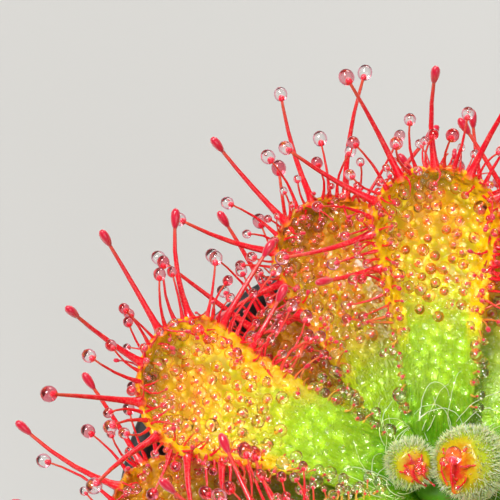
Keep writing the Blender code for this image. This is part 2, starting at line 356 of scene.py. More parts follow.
class GrowthWiring(Wiring):
    """Adds the nodes that the growing trees share."""

    TREE = "GeometryNodeTree"

    def named(self, name, data_type="FLOAT"):
        """A value of the points that a tree works on. The name itself may be an input of the tree."""
        return self.add("GeometryNodeInputNamedAttribute", {"Name": name}, data_type=data_type).outputs[0]

    def store(self, geometry, name, value, data_type="FLOAT"):
        feeds = {"Geometry": geometry, "Name": name, "Value": value}
        settings = {"data_type": data_type, "domain": "POINT"}
        return self.add("GeometryNodeStoreNamedAttribute", feeds, **settings).outputs[0]

    def position(self):
        return self.add("GeometryNodeInputPosition").outputs[0]

    def moved(self, geometry, **feeds):
        return self.add("GeometryNodeSetPosition", {"Geometry": geometry, **feeds}).outputs[0]

    def ball(self, sides, rings):
        return self.add("GeometryNodeMeshUVSphere", {0: sides, 1: rings, 2: 1.0}).outputs[0]

    def cone(self, sides, top, bottom):
        feeds = {
            "Vertices": sides, "Side Segments": 1, "Radius Top": top, "Radius Bottom": bottom, "Depth": 1.0,
        }
        return self.add("GeometryNodeMeshCone", feeds, fill_type="NGON").outputs[0]

    def turned(self, way):
        """The turn that points an instance's Z along a way."""
        return self.add("FunctionNodeAlignRotationToVector", {2: way}, axis="Z").outputs[0]

    def chance(self, low, high, seed):
        feeds = {2: low, 3: high, 8: seed}
        return self.add("FunctionNodeRandomValue", feeds, data_type="FLOAT").outputs[1]

    def shake(self, reach, seed):
        feeds = {0: (-reach,) * 3, 1: (reach,) * 3, 8: seed}
        return self.add("FunctionNodeRandomValue", feeds, data_type="FLOAT_VECTOR").outputs[0]

    def above_zero(self, value):
        settings = {"data_type": "FLOAT", "operation": "GREATER_THAN"}
        return self.add("FunctionNodeCompare", {0: value, 1: 1e-6}, **settings).outputs[0]

    def instances(self, points, instance, turn, size, **more):
        feeds = {"Points": points, "Instance": instance, "Rotation": turn, "Scale": size, **more}
        return self.add("GeometryNodeInstanceOnPoints", feeds).outputs[0]

    def joined(self, *parts):
        made = self.add("GeometryNodeJoinGeometry")
        for part in parts:
            self.link(part, made, 0)
        return made.outputs[0]

    def chosen(self, switch, off, on):
        return self.add("GeometryNodeSwitch", {0: switch, 1: off, 2: on}, input_type="GEOMETRY").outputs[0]

    def finish(self, geometry, material, result):
        """Ends a tree: instances made real, shaded smooth, with one material."""
        real = self.add("GeometryNodeRealizeInstances", {0: geometry}).outputs[0]
        smooth = self.add("GeometryNodeSetShadeSmooth", {0: real}).outputs[0]
        done = self.add("GeometryNodeSetMaterial", {"Geometry": smooth, "Material": material}).outputs[0]
        self.link(done, result, 0)
        return self.tree


def new_group(name, wiring, inputs, outputs=(("Geometry", GEOMETRY),)):
    """A node group with named sockets. Gives its wiring, its input sockets by name, and its output node."""
    tree = bpy.data.node_groups.new(name, wiring.TREE)
    for label, socket, value in inputs:
        made = tree.interface.new_socket(label, in_out="INPUT", socket_type=socket)
        if value is not None:
            made.default_value = value
    for label, socket in outputs:
        tree.interface.new_socket(label, in_out="OUTPUT", socket_type=socket)
    given = tree.nodes.new("NodeGroupInput").outputs
    return wiring(tree), given, tree.nodes.new("NodeGroupOutput")


def stalks_tree():
    """Tapered stalks along guide lines, with a head on the last point of each guide that asks for one."""
    w, given, result = new_group(
        "Stalks on Guides", GrowthWiring,
        (
            ("Guides", GEOMETRY, None), ("Sides", INT, 7), ("Head Sides", INT, 9), ("Head Rings", INT, 7),
            ("Material", FINISH, None),
        ),
    )
    line = w.add("GeometryNodeMeshToCurve", {0: given["Guides"]}).outputs[0]
    circle = w.add("GeometryNodeCurvePrimitiveCircle", {"Resolution": given["Sides"], "Radius": 1.0})
    stalk = w.add(
        "GeometryNodeCurveToMesh",
        {"Curve": line, "Profile Curve": circle.outputs[0], "Scale": w.named("girth"), "Fill Caps": True},
    ).outputs[0]
    place = w.position()
    narrow = w.maths("MULTIPLY_ADD", w.z_of(place), 0.22, 0.78)
    pear = w.moved(
        w.ball(given["Head Sides"], given["Head Rings"]),
        Position=w.vector("MULTIPLY", place, w.xyz(narrow, narrow, 1.0)),
    )
    wide, tall = w.named("head_wide"), w.named("head_tall")
    heads = w.instances(
        given["Guides"], w.store(pear, "bulb", 1.0), w.turned(w.named("aim", "FLOAT_VECTOR")),
        w.xyz(wide, w.times(wide, 0.86), tall), Selection=w.above_zero(wide),
    )
    return w.finish(w.joined(stalk, heads), given["Material"], result)


def drops_tree():
    """A dew drop on each guide point that has a drop radius."""
    w, given, result = new_group(
        "Drops on Guides", GrowthWiring,
        (
            ("Guides", GEOMETRY, None), ("Segments", INT, 12), ("Rings", INT, 8), ("Stretch", FLOAT, 1.12),
            ("Material", FINISH, None),
        ),
    )
    ball = w.moved(w.ball(given["Segments"], given["Rings"]), Offset=(0.0, 0.0, 0.55))
    dew = w.named("dew")
    drops = w.instances(
        given["Guides"], ball, w.turned(w.named("aim", "FLOAT_VECTOR")),
        w.xyz(dew, dew, w.times(dew, given["Stretch"])), Selection=w.above_zero(dew),
    )
    return w.finish(drops, given["Material"], result)


def glands_tree():
    """Short glands scattered over a leaf where its mask allows: stalks with heads, or only their drops."""
    w, given, result = new_group(
        "Glands on Surface", GrowthWiring,
        (
            ("Surface", GEOMETRY, None), ("Mask", STRING, ""), ("Spacing", FLOAT, 0.8 * MM), ("Seed", INT, 1),
            ("Height", FLOAT, 0.5 * MM), ("Height at Margin", FLOAT, 1.0 * MM), ("Lean", FLOAT, 0.8),
            ("Stalk Radius", FLOAT, 0.05 * MM), ("Gland Radius", FLOAT, 0.14 * MM),
            ("Drop Radius", FLOAT, 0.36 * MM), ("Smallest Drop", FLOAT, 0.7), ("Segments", INT, 9),
            ("Rings", INT, 6), ("Tint", FLOAT, 0.5), ("Drops Only", SWITCH, False),
            ("Material", FINISH, None),
        ),
    )
    scatter = w.add(
        "GeometryNodeDistributePointsOnFaces",
        {
            "Mesh": given["Surface"], "Distance Min": given["Spacing"], "Density Max": 8.0e6,
            "Density Factor": w.named(given["Mask"]), "Seed": given["Seed"],
        },
        distribute_method="POISSON",
    )
    edge = w.named("edge")
    pull = w.times(w.maths("POWER", edge, 2.0), given["Lean"])
    outward = w.vector("SCALE", w.named("outward", "FLOAT_VECTOR"), pull)
    way = w.vector("ADD", w.vector("ADD", scatter.outputs["Normal"], outward), w.shake(0.22, 3))
    tall = w.mix(w.maths("POWER", edge, 3.0), given["Height"], given["Height at Margin"])
    points = w.store(scatter.outputs["Points"], "way", w.vector("NORMALIZE", way), "FLOAT_VECTOR")
    points = w.store(points, "tint", given["Tint"])
    points = w.store(points, "height", w.times(tall, w.chance(0.7, 1.3, 5)))
    way, height = w.named("way", "FLOAT_VECTOR"), w.named("height")
    tips = w.moved(points, Offset=w.vector("SCALE", way, height))
    turn = w.turned(way)
    reach = w.maths("MULTIPLY_ADD", w.z_of(w.position()), 0.10, 0.02)
    stalk, girth = w.store(w.cone(5, 0.75, 1.5), "reach", reach), given["Stalk Radius"]
    stalks = w.instances(points, stalk, turn, w.xyz(girth, girth, height))
    bead, gland = w.store(w.ball(6, 4), "bulb", 0.8), given["Gland Radius"]
    beads = w.instances(tips, bead, turn, w.xyz(gland, gland, w.times(gland, 1.35)))
    size = w.times(w.chance(given["Smallest Drop"], 1.15, 11), given["Drop Radius"])
    drops = w.instances(tips, w.ball(given["Segments"], given["Rings"]), turn, size)
    grown = w.chosen(given["Drops Only"], w.joined(stalks, beads), drops)
    return w.finish(grown, given["Material"], result)


def scatter_tree():
    """Small bits scattered over a surface, each turned and stretched its own way: hairs or crumbs."""
    w, given, result = new_group(
        "Bits on Surface", GrowthWiring,
        (
            ("Surface", GEOMETRY, None), ("Mask", STRING, ""), ("Density", FLOAT, 1.0e6), ("Seed", INT, 1),
            ("Width", FLOAT, 0.1 * MM), ("Height", FLOAT, 0.3 * MM), ("Disorder", FLOAT, 0.5),
            ("Sides", INT, 4), ("Crumbs", SWITCH, False), ("Material", FINISH, None),
        ),
    )
    density = w.times(w.named(given["Mask"]), given["Density"])
    scatter = w.add(
        "GeometryNodeDistributePointsOnFaces",
        {"Mesh": given["Surface"], "Density": density, "Seed": given["Seed"]}, distribute_method="RANDOM",
    )
    lean = w.vector("SCALE", w.shake(1.0, 3), given["Disorder"])
    turn = w.turned(w.vector("ADD", scatter.outputs["Normal"], lean))
    wide = w.times(given["Width"], w.chance(0.6, 1.3, 8))
    size = w.xyz(wide, wide, w.times(given["Height"], w.chance(0.45, 1.25, 5)))
    lump = w.add("GeometryNodeMeshIcoSphere", {0: 1.0, 1: 1}).outputs[0]
    crumb = w.moved(lump, Offset=w.shake(0.35, 2))
    bit = w.chosen(given["Crumbs"], w.cone(given["Sides"], 0.12, 1.0), crumb)
    points = w.store(scatter.outputs["Points"], "tint", w.chance(0.0, 1.0, 21))
    return w.finish(w.instances(points, bit, turn, size), given["Material"], result)


def grow(name, source, tree, **inputs):
    """Runs a tree on a source mesh and keeps what it grows as a plain mesh of its own."""
    obj = bpy.data.objects.new(name, source)
    bpy.context.scene.collection.objects.link(obj)
    modifier = obj.modifiers.new("grow", "NODES")
    modifier.node_group = tree
    sockets = {item.name: item.identifier for item in tree.interface.items_tree if item.in_out == "INPUT"}
    for label, value in inputs.items():
        modifier[sockets[label.replace("_", " ")]] = value
    depsgraph = bpy.context.evaluated_depsgraph_get()
    mesh = bpy.data.meshes.new_from_object(
        obj.evaluated_get(depsgraph), preserve_all_data_layers=True, depsgraph=depsgraph,
    )
    if not mesh.polygons:
        raise RuntimeError(f"{name}: nothing grew")
    obj.modifiers.clear()
    obj.data = mesh
    mesh.name = name
    return obj


def settle(piece, slot, *nodes):
    """Hands a finished piece to the frame: it moves with the plant, and may stand for nodes."""
    if nodes:
        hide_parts(*nodes)
    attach(piece, "root")


def set_values(mesh, values):
    """Writes numbers or vectors on a mesh's points, by name."""
    for label, entries in values.items():
        flat = np.asarray(entries, np.float32)
        kind, field = ("FLOAT_VECTOR", "vector") if flat.ndim == 2 else ("FLOAT", "value")
        mesh.attributes.new(label, kind, "POINT").data.foreach_set(field, flat.ravel())


def mesh_object(name, verts, faces, material, values=None):
    """A mesh object at the origin, shaded smooth, with values on its points."""
    mesh = bpy.data.meshes.new(name)
    mesh.from_pydata([tuple(v) for v in verts], [], faces)
    set_values(mesh, values or {})
    mesh.shade_smooth()
    mesh.materials.append(material)
    mesh.validate()
    obj = bpy.data.objects.new(name, mesh)
    bpy.context.scene.collection.objects.link(obj)
    return obj


# Shader groups

def mottle_group():
    """Soft blotches of two sizes, from 0 to 1."""
    w, given, result = new_group(
        "Mottle", ShaderWiring,
        (("Scale", FLOAT, 800.0), ("Fine Scale", FLOAT, 4000.0), ("Fine Share", FLOAT, 0.35)),
        (("Value", FLOAT),),
    )
    place = w.place()
    broad, fine = w.noise(place, given["Scale"], 3.0), w.noise(place, given["Fine Scale"], 2.0)
    w.link(w.spread(w.mix(given["Fine Share"], broad, fine), 0.3, 0.7), result, 0)
    return w.tree


def cells_group():
    """Rounded swellings of plant tissue: a height to bump with and a mask of the grooves between them."""
    w, given, result = new_group(
        "Cells", ShaderWiring,
        (("Scale", FLOAT, 2200.0), ("Warp", FLOAT, 0.12 * MM)),
        (("Height", FLOAT), ("Grooves", FLOAT)),
    )
    place = w.place()
    drift = w.vector("SUBTRACT", w.noise(place, 700.0, 2.0, "Color"), (0.5, 0.5, 0.5))
    warped = w.vector("ADD", place, w.vector("SCALE", drift, given["Warp"]))
    feeds = {"Vector": warped, "Scale": given["Scale"], "Randomness": 0.85}
    cell = w.add("ShaderNodeTexVoronoi", feeds, feature="F1").outputs["Distance"]
    w.link(w.spread(cell, 0.0, 0.62, 1.0, 0.0), result, 0)
    w.link(w.spread(cell, 0.36, 0.66), result, 1)
    return w.tree


def streaks_group():
    """Fine streaks that run along a leaf, from 0 to 1."""
    w, given, result = new_group(
        "Streaks", ShaderWiring,
        (("Along", FLOAT, 14.0), ("Across", FLOAT, 5.0)),
        (("Value", FLOAT),),
    )
    run = w.times(w.value("along"), given["Along"])
    side = w.times(w.value("across"), given["Across"])
    w.link(w.spread(w.noise(w.xyz(run, side, 0.0), 1.0, 3.0), 0.35, 0.65), result, 0)
    return w.tree


# Materials

def new_material(name, **sockets):
    """A material with its wiring and its shader, on which the named sockets are set."""
    made = bpy.data.materials.new(name)
    made.use_nodes = True
    shader = made.node_tree.nodes["Principled BSDF"]
    for label, value in sockets.items():
        shader.inputs[label.replace("_", " ")].default_value = value
    return made, ShaderWiring(made.node_tree), shader


def leaf_material(colours, groups):
    """Moist leaf: green at its stalk, gold in its hollow, yellow and orange at its rim, redder with age; with
    painted shade in the grooves between its swellings, painted light on their tops and painted glints of wet
    near its stalk.
    """
    made, w, shader = new_material(
        "leaf_skin", Subsurface_Weight=0.30, Subsurface_Radius=(1.0, 0.7, 0.15), Subsurface_Scale=0.30 * MM,
        Coat_Weight=0.25, Coat_Roughness=0.12,
    )
    along, edge, age = w.value("along"), w.value("edge"), w.value("age")
    mottle = w.group(groups["mottle"], Scale=900.0, Fine_Scale=5000.0).outputs[0]
    cells = w.group(groups["cells"], Scale=1750.0)
    grains = w.group(groups["cells"], Scale=5200.0).outputs["Height"]
    streaks = w.group(groups["streaks"]).outputs[0]
    blade = w.spread(along, 0.36, 0.58)
    blotch = w.maths("SUBTRACT", mottle, 0.5)
    shifted = w.maths("MULTIPLY_ADD", blotch, 0.10, along)
    tone = w.blend(w.spread(shifted, 0.03, 0.30), colour(colours.deep_green), colour(colours.lime))
    pale_streak = w.times(streaks, w.spread(along, 0.62, 0.30, 0.0, 0.22))
    tone = w.blend(pale_streak, tone, PALE_STREAK)
    tone = w.blend(w.spread(shifted, 0.34, 0.62), tone, colour(colours.yellow_green))
    hollow = w.times(w.spread(shifted, 0.58, 0.82), w.spread(edge, 0.80, 0.36))
    tone = w.blend(hollow, tone, colour(colours.gold))
    # Painted shade: the grooves between the swellings are darkened towards brown
    grooves = w.times(cells.outputs["Grooves"], w.times(blade, 0.60))
    tone = w.blend(grooves, tone, w.blend(1.0, tone, PAINTED_GROOVE_SHADE, "MULTIPLY"))
    # Painted light: the tops of the swellings turn yellow
    crown_light = w.times(w.spread(cells.outputs["Height"], 0.55, 1.0), w.times(blade, 0.45))
    tone = w.blend(crown_light, tone, PAINTED_CROWN_LIGHT)
    # Where painted glints of wet dot the lower blade and stalk, and where the fine grains bump it
    glint_and_bump_zone = w.times(w.spread(along, 0.08, 0.30), w.spread(along, 0.66, 0.50))
    glint_and_bump_zone = w.times(glint_and_bump_zone, w.spread(mottle, 0.30, 0.75, 0.30, 1.0))
    tone = w.blend(w.times(w.spread(grains, 0.86, 0.97), glint_and_bump_zone), tone, PAINTED_WET_GLINT)
    rim = w.times(w.spread(edge, 0.60, 0.80), w.spread(along, 0.30, 0.55))
    tone = w.blend(rim, tone, colour(colours.yellow))
    ragged = w.maths("MULTIPLY_ADD", blotch, 0.20, edge)
    roots = w.times(w.spread(ragged, 0.93, 1.06), w.spread(along, 0.42, 0.68))
    tone = w.blend(roots, tone, colour(colours.orange))
    old = w.times(w.times(age, w.spread(along, 0.18, 0.6)), w.spread(mottle, -0.3, 0.9, 0.45, 0.95))
    darker = w.blend(1.0, tone, colour(colours.aged), "MULTIPLY")
    tone = w.blend(old, tone, w.blend(0.55, colour(colours.aged), darker))
    w.link(tone, shader, "Base Color")
    w.link(w.spread(mottle, 0.0, 1.0, 0.18, 0.34), shader, "Roughness")
    relief = w.times(cells.outputs["Height"], w.spread(blade, 0.0, 1.0, 0.12, 1.0))
    relief = w.maths("MULTIPLY_ADD", streaks, w.spread(along, 0.55, 0.25, 0.0, 0.28), relief)
    relief = w.maths("MULTIPLY_ADD", grains, w.times(glint_and_bump_zone, 0.35), relief)
    w.bump(shader, relief, 1.0, 0.16 * MM)
    return made


def tentacle_material(colours, groups):
    """Glossy tentacles: orange at the root, red along the stalk, orange-pink at the neck, a crimson head with
    a painted pink sheen towards its rim.
    """
    made, w, shader = new_material(
        "tentacle_skin", Roughness=0.26, Subsurface_Weight=0.25, Subsurface_Radius=(1.0, 0.12, 0.08),
        Subsurface_Scale=0.2 * MM, Coat_Weight=0.8, Coat_Roughness=0.06,
    )
    reach, bulb, along = w.value("reach"), w.value("bulb"), w.value("along")
    mottle = w.group(groups["mottle"], Scale=1500.0, Fine_Scale=9000.0, Fine_Share=0.6).outputs[0]
    facing = w.add("ShaderNodeLayerWeight", {"Blend": 0.45}).outputs["Facing"]
    start = w.blend(w.spread(along, 0.30, 0.62), LOW_ROOT_GREEN, ROOT_ORANGE)
    stalk = w.blend(w.spread(along, 0.34, 0.56), LOW_STALK_OCHRE, colour(colours.red))
    tone = w.blend(w.spread(reach, 0.0, 0.22), start, stalk)
    tone = w.blend(w.spread(reach, 0.72, 0.97), tone, colour(colours.neck))
    tone = w.blend(w.spread(mottle, 0.45, 0.95, 0.0, 0.45), tone, STALK_BLOTCH)
    # Painted sheen: the head turns pink towards its rim, by the angle of view
    head = w.blend(w.spread(facing, 0.10, 0.85), colour(colours.crimson), PAINTED_HEAD_SHEEN)
    w.link(w.blend(bulb, tone, head), shader, "Base Color")
    w.bump(shader, mottle, 0.25, 0.03 * MM)
    return made


def dew_material():
    """Dew, clear in the middle and tinted towards its rim with painted colour that stands in for what a drop
    refracts at its edge: pink on tentacles, amber on blades, greenish below. Above 1 the tint turns a drop
    ruby all through. It leaves no hard shadow."""
    made, w, shader = new_material(
        "dew", Roughness=0.0, IOR=1.42, Transmission_Weight=1.0, Coat_Weight=1.0, Coat_Roughness=0.02,
    )
    tint = w.value("tint")
    facing = w.add("ShaderNodeLayerWeight", {"Blend": 0.5}).outputs["Facing"]
    # Painted rim colour by the angle of view, standing in for what the drop refracts at its edge
    rim = w.blend(w.spread(tint, 0.0, 0.5, smooth=False), PAINTED_GREEN_RIM, PAINTED_AMBER_RIM)
    rim = w.blend(w.spread(tint, 0.5, 1.0, smooth=False), rim, PAINTED_PINK_RIM)
    tone = w.blend(w.spread(facing, 0.10, 0.60), CLEAR_WATER, rim)
    tone = w.blend(w.spread(tint, 1.0, 1.6, 0.0, 0.9), tone, RUBY)
    w.link(tone, shader, "Base Color")
    clear = w.add("ShaderNodeBsdfTransparent").outputs[0]
    in_shadow = w.add("ShaderNodeLightPath").outputs["Is Shadow Ray"]
    mixed = w.add("ShaderNodeMixShader", {0: in_shadow, 1: shader.outputs[0], 2: clear}).outputs[0]
    w.link(mixed, made.node_tree.nodes["Material Output"], "Surface")
    return made


def young_leaf_material(groups):
    """Skin of a curled young leaf: green outside, yellow, orange and red towards its open face."""
    made, w, shader = new_material(
        "young_leaf_skin", Roughness=0.35, Subsurface_Weight=0.3, Subsurface_Radius=(1.0, 0.6, 0.15),
        Subsurface_Scale=0.4 * MM, Coat_Weight=0.3,
    )
    mottle = w.group(groups["mottle"], Scale=1100.0, Fine_Scale=5000.0).outputs[0]
    shifted = w.maths("MULTIPLY_ADD", w.maths("SUBTRACT", mottle, 0.5), 0.12, w.value("face"))
    tone = YOUNG_LEAF_OUTSIDE
    for low, high, next_tone in YOUNG_LEAF_TONES:
        tone = w.blend(w.spread(shifted, low, high), tone, next_tone)
    w.link(tone, shader, "Base Color")
    w.bump(shader, mottle, 0.5, 0.08 * MM)
    return made


def fuzz_material(colours):
    """Pale hairs and threads, each with its own tint."""
    made, w, shader = new_material(
        "pale_fuzz", Roughness=0.45, Subsurface_Weight=0.3, Subsurface_Scale=0.2 * MM,
    )
    w.link(w.blend(w.value("tint"), colour(colours.fuzz), WHITISH_HAIR), shader, "Base Color")
    return made


def peat_material(colours, groups):
    """Damp peat: dark reddish brown with paler fibres."""
    made, w, shader = new_material("damp_peat")
    mottle = w.group(groups["mottle"], Scale=350.0, Fine_Scale=2600.0, Fine_Share=0.5).outputs[0]
    tone = w.blend(mottle, colour(colours.peat), PALER_PEAT)
    tone = w.blend(w.spread(w.value("tint"), 0.72, 1.0, 0.0, 0.8), tone, FIBRE_BROWN)
    w.link(tone, shader, "Base Color")
    w.link(w.spread(mottle, 0.0, 1.0, 0.75, 0.95), shader, "Roughness")
    w.bump(shader, mottle, 0.8, 0.25 * MM)
    return made


def pot_material(colours, groups):
    """Charcoal plastic with a fine moulded grain."""
    made, w, shader = new_material("charcoal_plastic")
    grain = w.group(groups["mottle"], Scale=1600.0, Fine_Scale=9000.0, Fine_Share=0.7).outputs[0]
    dust = w.group(groups["mottle"], Scale=120.0, Fine_Scale=700.0).outputs[0]
    w.link(w.blend(w.times(dust, 0.35), colour(colours.pot), POT_DUST), shader, "Base Color")
    w.link(w.spread(dust, 0.0, 1.0, 0.38, 0.52), shader, "Roughness")
    w.bump(shader, grain, 0.25, 0.04 * MM)
    return made


def stem_material(colours, groups):
    """Green stem with brown scars."""
    made, w, shader = new_material(
        "stem_skin", Roughness=0.5, Subsurface_Weight=0.2, Subsurface_Scale=0.4 * MM,
    )
    mottle = w.group(groups["mottle"], Scale=700.0, Fine_Scale=3500.0).outputs[0]
    tone = w.blend(w.spread(mottle, 0.45, 0.9), colour(colours.deep_green), SCAR_BROWN)
    w.link(tone, shader, "Base Color")
    w.bump(shader, mottle, 0.4, 0.10 * MM)
    return made


def floor_material():
    """Plain pale floor, with a faint unevenness."""
    made, w, shader = new_material("pale_floor", Roughness=0.8)
    w.link(w.blend(w.noise(w.place(), 12.0, 2.0), *FLOOR_GREYS), shader, "Base Color")
    return made


def colour(value):
    return (*value, 1.0)


STORE = {}


def stock():
    """Materials and trees, each made once."""
    if not STORE:
        colours = bpy.context.scene.sundew_colours
        groups = {"mottle": mottle_group(), "cells": cells_group(), "streaks": streaks_group()}
        STORE.update(
            leaf=leaf_material(colours, groups),
            tentacle=tentacle_material(colours, groups),
            dew=dew_material(),
            young=young_leaf_material(groups),
            fuzz=fuzz_material(colours),
            peat=peat_material(colours, groups),
            pot=pot_material(colours, groups),
            stem=stem_material(colours, groups),
            stalks_on_guides=stalks_tree(),
            drops_on_guides=drops_tree(),
            glands=glands_tree(),
            bits=scatter_tree(),
        )
    return STORE


# Leaf form

def clamped(value, low=0.0, high=1.0):
    return min(max(value, low), high)


class Leaf:
    """Places points of one leaf: along the midrib's curve, across it, and above its surface."""

    STEPS = 40
    ARCH, ARCH_END = 9.0, 0.6
    TIP_CURL = 16.0
    PETIOLE_CUP = 0.25 * MM
    THICK_BASE = 0.8 * MM
    THICK_BLADE = 0.55 * MM
    THICK_MARGIN = 0.42 * MM
    FOLD = 0.22 * MM
    LUMPS = 0.055

    def __init__(self, tier, direction, slope, length, roll, breadth):
        settings = bpy.context.scene.sundew_leaves
        self.width = settings.blade_half_width
        self.cup = settings.cup
        self.waviness = settings.waviness
        self.length = length * MM
        self.breadth = breadth
        self.slope = slope
        turn = Matrix.Rotation(math.radians(direction), 3, "Z")
        self.outward = turn @ Vector((1.0, 0.0, 0.0))
        self.across = turn @ Vector((0.0, 1.0, 0.0))
        self.up = Vector((0.0, 0.0, 1.0))
        self.roll = math.radians(roll)
        self.drift = Vector((tier * 3.7, tier * 1.3, 0.0))
        self.points = [(STEM_RADIUS + CLEARANCE, TOP_TIER - tier * TIER_HEIGHT)]
        for step in range(self.STEPS):
            angle = self.angle((step + 0.5) / self.STEPS)
            last = self.points[-1]
            run = self.length / self.STEPS
            self.points.append((last[0] + run * math.cos(angle), last[1] + run * math.sin(angle)))

    def angle(self, share):
        """The midrib's slope: it arches over the leaf's stalk and curls up towards the tip."""
        arch = self.ARCH * (1.0 - 2.0 * min(share / self.ARCH_END, 1.0))
        curl = self.TIP_CURL * max(0.0, share - self.ARCH_END) / 0.4
        return math.radians(self.slope + arch + curl)

    def place(self, share, across, height):
        """The point at a share of the length, a distance across the midrib and a height above it."""
        at = clamped(share) * self.STEPS
        low = min(int(at), self.STEPS - 1)
        part = at - low
        radial = self.points[low][0] * (1.0 - part) + self.points[low + 1][0] * part
        rise = self.points[low][1] * (1.0 - part) + self.points[low + 1][1] * part
        angle = self.angle(max(share, 0.0))
        along = self.outward * math.cos(angle) + self.up * math.sin(angle)
        normal = self.up * math.cos(angle) - self.outward * math.sin(angle)
        rolled = self.roll * clamped(share)
        side = self.across * math.cos(rolled) + normal * math.sin(rolled)
        normal = normal * math.cos(rolled) - self.across * math.sin(rolled)
        spot = self.outward * radial + self.up * rise
        if share > 1.0:
            spot += along * ((share - 1.0) * self.length)
        if share < 0.0:
            spot += along * (share * self.length)
        return spot + side * across + normal * height

    def half_width(self, share):
        x = min(max(share, 0.0) / WIDEST_AT, 1.0)
        start = min(x / 0.15, 1.0)
        grown = 0.25 * start * start * (3.0 - 2.0 * start) + 0.75 * x ** 1.5
        return BASE_HALF_WIDTH + (self.width - BASE_HALF_WIDTH) * grown

    def margin_plan(self, q):
        """The margin in plan, q going 0 to 2 from the base round the tip and back."""
        side = 1.0 if q <= 1.0 else -1.0
        q = q if q <= 1.0 else 2.0 - q
        if q < FLANK_SHARE:
            share = WIDEST_AT * q / FLANK_SHARE
            return share, side * self.half_width(share)
        turn = 0.5 * math.pi * (1.0 - (q - FLANK_SHARE) / (1.0 - FLANK_SHARE))
        return WIDEST_AT + (1.0 - WIDEST_AT) * math.cos(turn), side * self.width * math.sin(turn)

    def plan(self, q, inward):
        """Where a point between midrib (0) and margin (1) lies, and how far along its margin point is."""
        share, across = self.margin_plan(q)
        middle = share
        if share > WIDEST_AT:
            middle = WIDEST_AT + 0.5 * (share - WIDEST_AT) * (1.0 - abs(across) / self.width)
        return middle + (share - middle) * inward, across * inward, share

    def surface(self, q, inward, depth):
        """inward goes from the midrib (0) to the margin (1), depth from the top (0) to the underside (1)."""
        along, across, share = self.plan(q, inward)
        blade = min(share / WIDEST_AT, 1.0) ** 2
        cup = self.PETIOLE_CUP + (self.cup - self.PETIOLE_CUP) * blade
        thick = self.THICK_BASE + (self.THICK_BLADE - self.THICK_BASE) * min(share / 0.5, 1.0)
        thick += (self.THICK_MARGIN - thick) * inward
        swell = noise.noise(self.drift + Vector((along * 9.0, across / MM * 0.55, 0.0)))
        rim = max(0.0, 1.0 - abs(inward - 0.90) / 0.20) * blade
        lump = math.cos(2.0 * math.pi * (q - 1.0) / self.LUMPS)
        fold = self.FOLD * rim * rim * (3.0 - 2.0 * rim) * (1.0 + 0.55 * lump)
        height = cup * inward ** 2.2 + self.waviness * swell * blade + (1.0 - depth) * fold - depth * thick
        return self.place(along, across * self.breadth, height)

    def directions(self, q, inward):
        """At a point of the top: along the margin, away from the midrib, and up from the leaf's plane."""
        step = 0.01
        along = (self.surface(q + step, inward, 0.5) - self.surface(q - step, inward, 0.5)).normalized()
        up = self.surface(q, inward, 0.0) - self.surface(q, inward, 1.0)
        up = (up - along * up.dot(along)).normalized()
        out = up.cross(along)
        if out.dot(self.surface(q, 1.0, 0.5) - self.surface(q, 0.5, 0.5)) < 0.0:
            out = -out
        pull = (self.surface(1.0, 1.0, 0.5) - self.surface(1.0, 0.6, 0.5)).normalized()
        return along, (out + 0.25 * pull).normalized(), up

    def skin(self, q, inward):
        """The top skin's own normal, which leans with the blade's cup."""
        run = self.surface(q + 0.02, inward, 0.0) - self.surface(q - 0.02, inward, 0.0)
        rise = self.surface(q, inward + 0.05, 0.0) - self.surface(q, inward - 0.05, 0.0)
        normal = run.cross(rise).normalized()
        return normal if normal.dot(self.up) > 0.0 else -normal


def leaf_forms():
    """Every leaf's name, form and age."""
    for tier, (name, *shape, age) in enumerate(LEAVES):
        yield name, Leaf(tier, *shape), age


